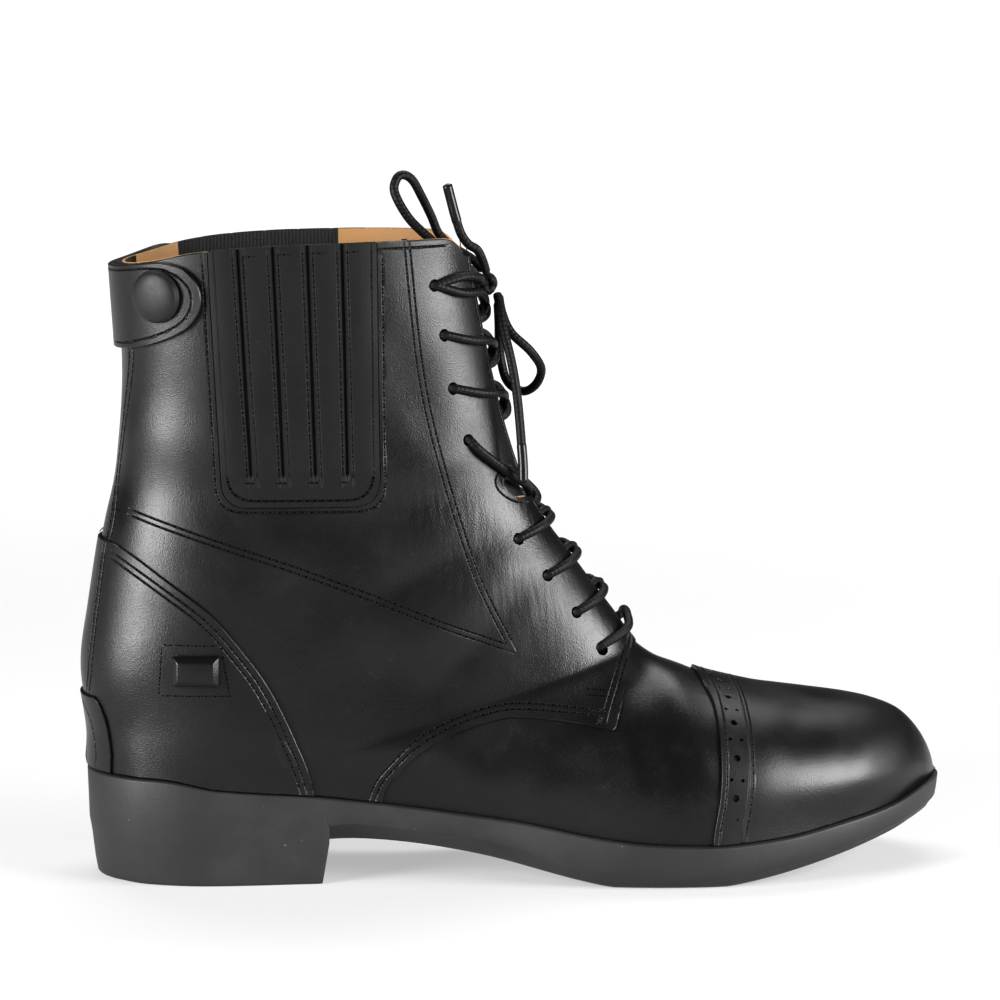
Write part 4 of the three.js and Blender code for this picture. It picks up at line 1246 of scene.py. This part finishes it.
def notchRoute(side, i):
    z, top = level(notch["rise"]), level(eyelets["rises"][i])
    return intoHole(side, top) + [
        overFront(side * (throatHalf(top) + eyelets["setback"] - 1.5), top - 4.5, lace["lift"] - 0.6),
        overFront(side * (throatHalf(z) + notch["depth"] * 0.62), z + 2.2, lace["lift"] * 0.55),
        overFront(side * throatHalf(z) * 0.9, z - 1, -0.4),
        overFront(0, z - 5, -0.4 + 0.9 * side),
        overFront(-side * 3.5, z - 7, -0.4),
        overFront(-side * (throatHalf(z) + 3.0), z - 9.5, -3.6),
    ]


def makeLacing():
    z = level(eyelets["rises"][0]) + 1
    reach = throatHalf(z) + eyelets["setback"]
    bar = intoHole(-1, z) + [
        overFront(t * reach, z + 9 * (1 - abs(t)), lace["lift"] + 0.2) for t in (-0.6, -0.25, 0.25, 0.6)
    ] + intoHole(1, z)[::-1]
    lacePiece("laceBar", [bar], "lace_bar")
    for i in range(1, len(eyelets["rises"])):
        if i == crossing["aboveNotch"]:
            routes = [notchRoute(side, i) for side in (-1, 1)]
        else:
            low, high = i < crossing["aboveNotch"], i == len(eyelets["rises"]) - 1
            shares = crossing["low" if low else "top" if high else "high"]
            routes = []
            for side in (-1, 1):
                route = strandRoute(side, eyelets["rises"][i], eyelets["rises"][i - 1], shares)
                route[6] = route[6] + Vector((0.8 * side, 0, 0))
                routes.append(route)
        lacePiece("laceCrossing%d" % i, routes, "lace_crossing_%d" % i)


def makeTie():
    top = level(eyelets["rises"][-1])
    half = throatHalf(top + 2.6)
    routes = [
        intoHole(side, top) + [
            overFront(side * (half + eyelets["setback"] * 0.55), top + 2.2, lace["lift"]),
            overFront(side * (half + 1.3), top + 1.2, lace["lift"] + 0.6),
            overFront(side * half * 0.5, top - 0.4, 0.4),
            knot["centre"] + Vector((-0.6, side * 1.2, 0.5)),
        ]
        for side in (-1, 1)
    ]
    lacePiece("laceTie", routes, "lace_tie")


def makeKnot():
    turns = []
    for k in range(knot["steps"] + 1):
        t = k / knot["steps"]
        angle = t * 2 * math.pi * knot["turns"]
        wide = mix(-knot["halfWidth"], knot["halfWidth"], t)
        turns.append(knot["centre"] + Vector((1.4 * math.cos(angle) + 0.2, wide, 2.4 * math.sin(angle))))
    across = [(-1.2, 0.6, 3.2), (1.3, -1.0, 1.6), (1.9, 0.4, -0.4), (0.6, 1.2, -2.6)]
    lacePiece("laceKnot", [turns, [knot["centre"] + Vector(p) for p in across]], "lace_knot")


makeLacing()
makeTie()
makeKnot()
print("laced")


# the upper: quarters, vamp and lining

upperLeather = {
    "quarterLift": 1.0, "thickness": 2.1, "vampThickness": 1.1, "liningLift": -1.25, "lining": 0.95,
    "goreShift": 9, "backStrip": 0.7,
}


def aboveRim(co):
    return co.z - rim(co.x) - 0.3


def belowCollar(co):
    return collarTop(co.x) - co.z


def outsidePanel(co):
    return -panelFields[0](co)


def inGore(co):  # the elastic as the inside shows it: further back on the inner side
    return panelFields[0](co if co.y < 0 else co + Vector((upperLeather["goreShift"], 0, 0)))


def facingEdge(side, inside):  # along the opening, inside it by so many mm
    low, high = level(throat["bottom"]) + 2, level(1.985)
    spots = []
    for k in range(41):
        z = mix(low, high, k / 40)
        if abs(z - level(notch["rise"])) > 6:
            spots.append(onFront(side * (throatHalf(z) + inside), z, 1.0))
    return spots


def splitSpots(spots, gap=6):
    pieces = [[spots[0]]]
    for a, b in zip(spots, spots[1:]):
        if (b[0] - a[0]).length > gap:
            pieces.append([])
        pieces[-1].append(b)
    return [walkSeam(piece) for piece in pieces if len(piece) > 2]


facingRows = [(63.7, 212.2), (70, 160), (84.7, 107.1), (97.6, 79.2)]
bandRows = [(96.4, 78.0), (74.4, 86.5), (28.8, 104.7), (-24.4, 122.5)]
backRows = [(-24.6, 178), (-24.4, 170), (-27.5, 145), (-30.6, 121.3), (-32.5, 112.5)]
backRowsLow = [(-32.7, 109.5), (-34.6, 96), (-37, 78), (-38.3, 64)]
quarterInside = offsetLine([tuple(p) for p in smoothLine(quarterLine[:9], 3)], 3.4)[2:-2]
quarterFront = offsetLine([tuple(p) for p in smoothLine(quarterLine[8:], 3)], 3.4)[1:]


def collarRow(side):
    spots = []
    for k in range(60):
        x = mix(run(-0.11), run(0.262), k / 59)
        if panelFields[1.0](Vector((x, 0, collarTop(x) - 2.2))) < 0 and x > run(0.02):
            spots.append(onSide(x, collarTop(x) - 2.2, side, 1.0))
    return walkSeam(spots)


def notchRing(side):
    z, spots = level(notch["rise"]), []
    reach = throatHalf(z) + notch["depth"] - notch["width"] / 2
    for k in range(25):
        angle = mix(-0.5, 0.5, k / 24) * math.pi
        y = reach + (notch["width"] / 2 + 1.1) * math.cos(angle)
        spots.append(onFront(side * y, z + (notch["width"] / 2 + 2.0) * math.sin(angle), 1.0))
    return walkSeam(spots)


quarterSeams = {
    "facing": [seamOnSide(line, side, 1.0) for line in (facingRows, bandRows) for side in (-1, 1)],
    "back": [seamOnSide(backRows, side, 1.0) for side in (-1, 1)],
    "edge": [seamOnSide(line, side, 1.0) for line in (quarterInside, quarterFront) for side in (-1, 1)],
    "single": [],
}
for side in (-1, 1):
    quarterSeams["single"] += splitSpots(facingEdge(side, 1.5)) + [collarRow(side), notchRing(side)]
for side in (-1, 1):
    quarterSeams["single"].append(seamOnSide(panelOutline(1.6), side, 1.0, 4))
sewDouble(quarterSeams["facing"], 1.8, 2.7)
sewDouble(quarterSeams["back"], 2.8, 2.5)
sewDouble(quarterSeams["edge"], 2.0)
sew(quarterSeams["single"])


def makeQuarters():
    bm = skinSheet(upperLeather["quarterLift"], quarterField)
    refine(bm, lambda co: eyeletField(co) < 2.0 or notchField(co) < 1.5, 2)
    for field in (aboveRim, belowCollar, quarterField, throatField, outsidePanel, eyeletField, notchField):
        clip(bm, field)
    setGrooves(bm, [
        seamField(quarterSeams["facing"] + quarterSeams["edge"], 1.9), seamField(quarterSeams["back"], 2.8),
        seamField(quarterSeams["single"]),
    ])
    solidSheet(bm, upperLeather["thickness"], 0.3)
    bootPiece(bm, "quarters", [calfMaterial("quarterCalf")], ("upper",))


def makeVamp():
    def frontOf(co):
        return 8 - quarterField(co)

    bm = skinSheet(0, frontOf)
    for field in (aboveRim, belowCollar, frontOf, throatField, lambda co: capEdge(co.z) + 9 - co.x):
        clip(bm, field)
    solidSheet(bm, upperLeather["vampThickness"])
    bootPiece(bm, "vamp", [calfMaterial("vampCalf", grooves=False)])


def makeLining():
    bm = skinSheet(upperLeather["liningLift"], aboveRim, 2)
    refine(bm, lambda co: eyeletField(co) < 2.5, 2)
    for field in (aboveRim, belowCollar, throatField, lambda co: -inGore(co), eyeletField, notchField):
        clip(bm, field)
    solidSheet(bm, upperLeather["lining"])
    bootPiece(bm, "lining", [liningMaterial()], (), "lining")
    bm = skinSheet(upperLeather["liningLift"], inGore, 2)
    for field in (belowCollar, inGore):
        clip(bm, field)
    solidSheet(bm, upperLeather["lining"])
    bootPiece(bm, "elasticInside", [elasticMaterial()], (), "lining")


def makeBackStrip():
    def region(co):
        return min(-23.5 - co.x, co.z - level(1.6))

    bm = skinSheet(upperLeather["liningLift"] - upperLeather["lining"] - 0.1, region)
    for field in (belowCollar, region):
        clip(bm, field)
    solidSheet(bm, upperLeather["backStrip"])
    bootPiece(bm, "backStrip", [calfMaterial("stripInsideCalf", grooves=False, wrinkles=False)], (), "lining")


makeQuarters()
makeBackStrip()
makeVamp()
makeLining()
print("upper sewn")


# toe cap with its row of punched holes

cap = {
    "lift": 1.3, "thickness": 1.0, "punches": 5.0, "rows": (1.7, 10.4), "crease": 9.0,
    "bigPunch": 2.2, "smallPunch": 1.1, "punchPitch": 13.5, "pair": 1.9,
}


def acrossCap(shift):
    return seamAcross(capEdge, shift, cap["lift"], -2.0, 2.0, 38)


capPath = acrossCap(cap["punches"])


def alongPath(path, distance):  # the step of a walked seam at a distance from its middle
    middle = len(path) // 2
    index = middle + round(distance / 0.5)
    return path[index] if 0 <= index < len(path) else None


def capPunches():
    big, small = cap["bigPunch"], cap["smallPunch"]
    spots = []
    for k in range(-6, 7):
        for shift, size, beside in ((0, big, 0), (0.5, small, 1), (0.5, small, -1)):
            step = alongPath(capPath, (k + 0.25 + shift) * cap["punchPitch"])
            if step:
                spot = step[0] + step[3] * beside * cap["pair"]
                if spot.z > rim(spot.x) + 3.5:
                    spots.append((spot, step[1], size))
    return spots


def punchField(spots):
    def field(co):
        best = 9.0
        for point, out, size in spots:
            away = co - point
            if abs(away.x) < 4 and abs(away.y) < 4 and abs(away.z) < 4:
                best = min(best, (away - out * away.dot(out)).length - size / 2)
        return best

    return field


def inCap(co):
    return co.x - capEdge(co.z)


capSeams = [acrossCap(shift) for shift in cap["rows"]]
sew(capSeams)
capCrease = acrossCap(cap["crease"])


def makeToeCap():
    bm = skinSheet(cap["lift"], inCap)
    punches = punchField(capPunches())
    refine(bm, lambda co: punches(co) < 1.2, 3)
    for field in (aboveRim, inCap, punches):
        clip(bm, field)
    setGrooves(bm, [seamField(capSeams), seamField([capCrease])])
    solidSheet(bm, cap["thickness"], 0.2)
    calf = calfMaterial("capCalf", wrinkles=False, shine=0.31, dull=0.44, waveDepth=0.0005, coat=0.05)
    bootPiece(bm, "toeCap", [calf], ("toe_cap",))


makeToeCap()


# heel counter, patch, back strap and its snap

counter = {"lift": 2.3, "thickness": 1.0, "patchLift": 3.3, "patch": 0.7, "strapLift": 3.5, "strap": 2.2}
counterField = shapeField([tuple(p) for p in smoothLine(counterLine)] + [(run(-0.25), 0)])
patchField = shapeField([tuple(p) for p in smoothLine(patchLine)] + [(run(-0.25), 0)])
strapOuterSoft = softened(smoothLine(strapOuterLine, 1.0))
strapOuter = shapeField([tuple(p) for p in strapOuterSoft])
strapInner = shapeField([tuple(p) for p in smoothLine(strapInnerLine)])


def strapField(co):
    return strapOuter(co) if co.y < 0 else strapInner(co)


def makeLayer(name, field, lift, thickness, seams, material, node):
    bm = skinSheet(lift, field)
    clip(bm, aboveRim)
    clip(bm, field)
    setGrooves(bm, [seamField(rows, gap) for rows, gap in seams])
    solidSheet(bm, thickness, 0.3)
    bootPiece(bm, name, [material], (node,))


counterInside = offsetLine([tuple(p) for p in smoothLine(counterLine[:-2], 3)], 3.2)
counterSeams = [seamOnSide(counterInside, side, counter["lift"]) for side in (-1, 1)]
backSeamsLow = [seamOnSide(backRowsLow, side, counter["lift"]) for side in (-1, 1)]
patchInside = offsetLine([tuple(p) for p in smoothLine(patchLine[:-1], 3)], 1.8)[:-1]
patchSeams = [seamOnSide(patchInside, side, counter["patchLift"]) for side in (-1, 1)]
strapInside = offsetLine([tuple(p) for p in strapOuterSoft[::3]], 1.8)[1:-1]
strapSeams = [seamOnSide(strapInside, -1, counter["strapLift"])]
sewDouble(counterSeams, 2.0)
sewDouble(backSeamsLow, 2.2, 2.5)
sew(patchSeams)
sew(strapSeams, (0,), 2.4)
barTacks = [
    ((-34.0, 122.0), (-28.6, 122.8), 1.0), ((-38.4, 110.6), (-32.6, 113.6), counter["lift"]),
    ((122.6, 63.2), (129.6, 62.4), 1.0), ((122.4, 61.4), (129.4, 60.6), 1.0),
]
for start, end, lift in barTacks:
    sew([seamOnSide([start, end], side, lift, 1) for side in (-1, 1)], (0,), 1.2)

makeLayer(
    "heelCounter", counterField, counter["lift"], counter["thickness"],
    [(counterSeams, 2.0), (backSeamsLow, 2.2)], calfMaterial("counterCalf", wrinkles=False), "heel_counter",
)
makeLayer(
    "heelPatch", patchField, counter["patchLift"], counter["patch"],
    [(patchSeams, 0)], calfMaterial("patchCalf", wrinkles=False), "heel_patch",
)
makeLayer(
    "backStrap", strapField, counter["strapLift"], counter["strap"],
    [(strapSeams, 0)], calfMaterial("strapCalf", wrinkles=False, shine=0.36), "back_strap",
)


# elastic panels: five sewn strips over the elastic, in a stitched border

def makePanel(side, node):
    top = level(2.01)
    low = level(panel["bottom"])

    def place(s, t):
        z = mix(low, top, t)
        back = mix(run(panel["backLow"]), run(panel["back"]), min((z - low) / (level(2.0) - low), 1))
        front = mix(run(panel["frontLow"]), run(panel["front"]), min((z - low) / (level(2.0) - low), 1))
        x = mix(back, front, s)
        across = s * panel["strips"]
        gap = abs(across - round(across)) * (front - back) / panel["strips"]
        inner = 0 < round(across) < panel["strips"]
        slit = smoothStep((z - level(panel["stripLow"]) + 1.5) / 3)
        ridge = smoothStep((gap - 0.2) / 0.5) if inner else 1
        swell = 0.35 * math.sin(math.pi * (across % 1)) * slit
        lift = mix(1.3, mix(0.3, 1.3, ridge) + swell, slit)
        return onSide(x, min(z, collarTop(x) + 1.5), side, lift)[0]

    bm = mappedGrid(panel["cellsAcross"], panel["cellsUp"], place)
    clip(bm, belowCollar)
    clip(bm, panelFields[0])
    if side > 0:
        bmesh.ops.reverse_faces(bm, faces=bm.faces[:])
    border = [seamOnSide(panelOutline(-2.2), side, 1.45, 4)]
    slitLow = level(panel["stripLow"])
    rows = []
    for i in range(1, panel["strips"]):
        a = mix(run(panel["backLow"]), run(panel["frontLow"]), i / panel["strips"])
        b = mix(run(panel["back"]), run(panel["front"]), i / panel["strips"])
        for beside in (-panel["rowBeside"], panel["rowBeside"]):
            rows.append(seamOnSide([(a + beside, slitLow - 1), (b + beside, level(1.985))], side, 1.45, 4))
        sew([seamOnSide([(a - 3.4, slitLow - 1.8), (a, slitLow - 1.8)], side, 1.35, 1)], (0,), 1.7)
        across = [(b + 0.8, collarTop(b) - 2.6), (b + 6.6, collarTop(b + 6) - 2.6)]
        sew([seamOnSide(across, side, 1.6, 1)], (0,), 2.4)
    sew(border)
    sew(rows, (0,), panel["rowPitch"])
    setGrooves(bm, [seamField(border), seamField(rows)])
    solidSheet(bm, panel["thickness"])
    calf = calfMaterial("stripCalf", wrinkles=False, shine=0.5, dull=0.64, coat=0.0, specular=0.3)
    bootPiece(bm, "elasticPanel" + ("Outer" if side < 0 else "Inner"), [calf], (node,))


makePanel(-1, "elastic_panel_outer")
makePanel(1, "elastic_panel_inner")
print("panels sewn")


# snap cap: a satin dome in a thin rim

snap = {"run": -0.051, "rise": 1.871, "size": 17.5, "height": 4.0}


def standOn(point, out):
    return Matrix.Translation(point) @ out.to_track_quat("Z", "Y").to_matrix().to_4x4()


def turned(profile, matrix, steps=64):
    bm = bmesh.new()
    verts = [bm.verts.new((r, 0, z)) for r, z in profile]
    edges = [bm.edges.new(pair) for pair in zip(verts, verts[1:])]
    bmesh.ops.spin(bm, geom=verts + edges, cent=(0, 0, 0), axis=(0, 0, 1), angle=2 * math.pi, steps=steps)
    bmesh.ops.remove_doubles(bm, verts=bm.verts[:], dist=0.001)
    bmesh.ops.recalc_face_normals(bm, faces=bm.faces[:])
    bmesh.ops.transform(bm, matrix=matrix, verts=bm.verts[:])
    return bm


def makeSnap():
    point, out = onSide(run(snap["run"]), level(snap["rise"]), -1, 1.0)
    stand, r = 2.5, snap["size"] / 2
    profile = [
        (0, -1), (r - 0.9, -1), (r - 0.5, stand + 0.1), (r - 0.15, stand + 0.35), (r, stand + 0.8),
        (r - 0.1, stand + 1.25), (r - 0.45, stand + 1.6),
    ]
    for k in range(1, 10):
        angle = k / 9 * math.pi / 2
        profile.append(((r - 0.5) * math.cos(angle), stand + 1.6 + (snap["height"] - 1.9) * math.sin(angle)))
    profile[-1] = (0, profile[-1][1])
    bm = turned(profile, standOn(point, out))
    bootPiece(bm, "snapCap", [lacquerMaterial("snapEnamel", 0.42, 0.012)], ("snap_cap",), "snap", 30)


makeSnap()


# spur stops: a bevelled block in a stitched frame on each side of the heel

stop = {
    "run": -0.017, "rise": 0.931, "length": 15.5, "height": 10, "depth": 3.6,
    "padLength": 23, "padHeight": 16.5, "bevel": 1.9, "edge": 0.45,
}


def makeStop(side, node):
    centre, out = onSide(run(stop["run"]), level(stop["rise"]), side, counter["lift"])
    flat = Vector((out.x, out.y, 0)).normalized()
    along = Vector((0, 0, 1)).cross(flat)
    turn = Matrix((along, flat, Vector((0, 0, 1)))).transposed().to_4x4()
    bm = bmesh.new()
    size = Matrix.Diagonal((stop["length"] / 2, stop["depth"] / 2 + 1, stop["height"] / 2, 1))
    bmesh.ops.create_cube(bm, size=2, matrix=Matrix.Translation((0, 1.0, 0)) @ size)
    top = [f for f in bm.faces if f.calc_center_median().y > stop["depth"] / 2 + 1]
    settings = {"profile": 0.5, "affect": "EDGES", "material": -1}
    edges = [e for f in top for e in f.edges]
    bmesh.ops.bevel(bm, geom=edges, offset=stop["bevel"], segments=1, **settings)
    bmesh.ops.bevel(bm, geom=bm.edges[:], offset=stop["edge"], segments=3, **settings)
    bmesh.ops.transform(bm, matrix=Matrix.Translation(centre) @ turn, verts=bm.verts[:])
    calf = calfMaterial("stopCalf", grooves=False, wrinkles=False)
    bootPiece(bm, "spurStop" + ("Outer" if side < 0 else "Inner"), [calf], (node,))
    corners = [
        (centre.x + a * stop["padLength"] / 2, centre.z + b * stop["padHeight"] / 2)
        for a, b in ((-1, -1), (0.95, -1), (0.7, 1), (-0.9, 1), (-1, -1))
    ]
    rows = []
    for a, b in zip(corners, corners[1:]):
        line = [(mix(a[0], b[0], k / 12), mix(a[1], b[1], k / 12)) for k in range(13)]
        rows.append(walkSeam([onSide(x, z, side, counter["lift"]) for x, z in line]))
    sew(rows)


makeStop(-1, "spur_stop_outer")
makeStop(1, "spur_stop_inner")


# tongue and insole

tongue = {"lift": -2.5, "thickness": 2.0, "lean": 18}


def makeTongue():
    places = [level(r) for r in (0.955, 1.15, 1.5, 1.93, 1.995)]
    halves = [13, 20, 23, 22, 15.5]

    def place(s, t):
        z = mix(level(0.955), level(1.995), t)
        y = curveThrough(places, halves, z) * (2 * s - 1)
        lean = tongue["lean"] * smoothStep((z - level(1.72)) / (level(2) - level(1.72)))
        ripple = 0.35 * math.sin(z / 6.5) * smoothStep((22 - abs(y)) / 10)
        spot = onFront(y, min(z, level(1.99)), tongue["lift"] - lean + ripple)[0]
        return spot + Vector((0, 0, max(z - level(1.99), 0)))

    bm = mappedGrid(40, 110, place)
    bmesh.ops.recalc_face_normals(bm, faces=bm.faces[:])
    if sum(f.normal.x for f in bm.faces) < 0:
        bmesh.ops.reverse_faces(bm, faces=bm.faces[:])
    solidSheet(bm, tongue["thickness"], 0.4)
    calf = calfMaterial("tongueCalf", grooves=False, wrinkles=False, shine=0.45, coat=0.05)
    bootPiece(bm, "tongueLeather", [calf], ("tongue",))


def makeInsole():
    inset = last["rimEdge"] + last["wall"] + 1.9
    back, front = heelBack + inset, toeTip - inset

    def place(s, t):
        x = back + (front - back) * (1 - math.cos(s * math.pi)) / 2
        centre, half = outline(x, inset)
        y = (2 * t - 1) * max(half - 1.9 * waist(x), 0)
        return Vector((x, centre + y, rim(x) + 3.6 + 1.2 * (abs(2 * t - 1) ** 3)))

    bm = mappedGrid(120, 24, place)
    bmesh.ops.remove_doubles(bm, verts=bm.verts[:], dist=0.01)
    solidSheet(bm, 2.6)
    bootPiece(bm, "insoleSheet", [liningMaterial()], ("insole",), "lining")


makeTongue()
makeInsole()


# outsole: the plate with its waist band, and the heel, flush with each other

sole = {
    "rimRound": 0.9, "around": 220, "band": 7.5,
    "heelAround": 160, "heelTurn": 0.86, "breastLean": 0.16,
}


def bandEnd(x):
    return mix(underside(x) + 3.4, rim(x) - sole["band"], waist(x))


def soleRing(place, front, inset, extra, height):
    angle = place * 2 * math.pi
    back = heelBack + inset
    x = back + (front - inset - back) * (1 - math.cos(angle)) / 2
    centre, half = outline(x, inset)
    side = -1 if place < 0.5 else 1
    wide = 0 if place in (0, 0.5, 1) else max(half - extra(x), 0)
    return Vector((x, centre + side * wide, height(x)))


def soleLoft(rows, front):  # rows run from the top's middle over the edge to the bottom's middle
    def place(s, t):
        share, inset, extra, height = rows[round(t * (len(rows) - 1))]
        spot = soleRing(s, front, inset, extra, height)
        centre = outline(spot.x, inset)[0]
        spot.y = centre + (spot.y - centre) * share
        return spot

    bm = mappedGrid(sole["around"], len(rows) - 1, place)
    bmesh.ops.remove_doubles(bm, verts=bm.verts[:], dist=0.01)
    bmesh.ops.recalc_face_normals(bm, faces=bm.faces[:])
    return bm


def makeOutsole():
    def bevel(share):  # how far the waist's bevel draws the side in
        return lambda x: share * last["waistBevel"] * waist(x)

    r, none = sole["rimRound"], bevel(0)
    rows = [(share, r, none, rim) for share in (0, 0.4, 0.8, 1)]
    for a in (0.4, 0.8, 1.2, 1.57):
        rows.append((1, r * (1 - math.sin(a)), none, lambda x, a=a: rim(x) - r * (1 - math.cos(a))))
    rows += [
        (1, 0.35, none, lambda x: mix(rim(x), bandEnd(x), 0.6)),
        (1, 0.7, none, lambda x: bandEnd(x) + 0.4),
        (1, 0.9, none, bandEnd),
        (1, 1.3, bevel(0.12), lambda x: bandEnd(x) - 0.3),
        (1, 2.4, bevel(0.6), lambda x: underside(x) + 1.8),
        (1, 3.2, bevel(0.7), lambda x: underside(x) + 0.8),
        (1, 4.6, bevel(0.68), lambda x: underside(x) + 0.15),
    ]
    rows += [(share, 8, bevel(0.6), underside) for share in (1, 0.8, 0.4, 0)]
    plate = soleLoft(rows, toeTip)
    top, arch, taper = rim(breast) - 3, last["archRise"], last["heelTaper"]
    foot = taper + 1.1
    walls = [
        (0.3, top), (0.5, mix(top, arch, 0.6)), (mix(0.4, taper, 0.35), arch), (mix(0.4, taper, 0.75), 5.0),
        (taper, 1.3), (taper + 0.15, 0.6), (taper + 0.5, 0.15), (foot, 0.0),
    ]
    heelRows = [(share, 0.3, top) for share in (0, 0.5)] + [(1, inset, z) for inset, z in walls]
    heelRows += [(share, foot, 0.0) for share in (0.5, 0)]
    turn = sole["heelTurn"]  # where the heel's side ends and its breast begins

    def heelPlace(s, t):
        share, inset, z = heelRows[round(t * (len(heelRows) - 1))]
        end = breast - sole["breastLean"] * (arch - min(z, arch))
        back = heelBack + inset
        k = 2 * min(s, 1 - s)
        x = back + (end - back) * (1 - math.cos(min(k / turn, 1) * math.pi / 2))
        centre, half = outline(x, inset)
        side = -1 if s <= 0.5 else 1
        wide = half * (1 if k <= turn else (1 - k) / (1 - turn)) if k else 0
        return Vector((x, centre + side * wide * share, z))

    heel = mappedGrid(sole["heelAround"], len(heelRows) - 1, heelPlace)
    bmesh.ops.remove_doubles(heel, verts=heel.verts[:], dist=0.01)
    bmesh.ops.recalc_face_normals(heel, faces=heel.faces[:])
    joined(heel, plate)
    bootPiece(heel, "rubberSole", [rubberMaterial()], ("outsole",), "sole", 45)


makeOutsole()
makeStitches(stitchRows)
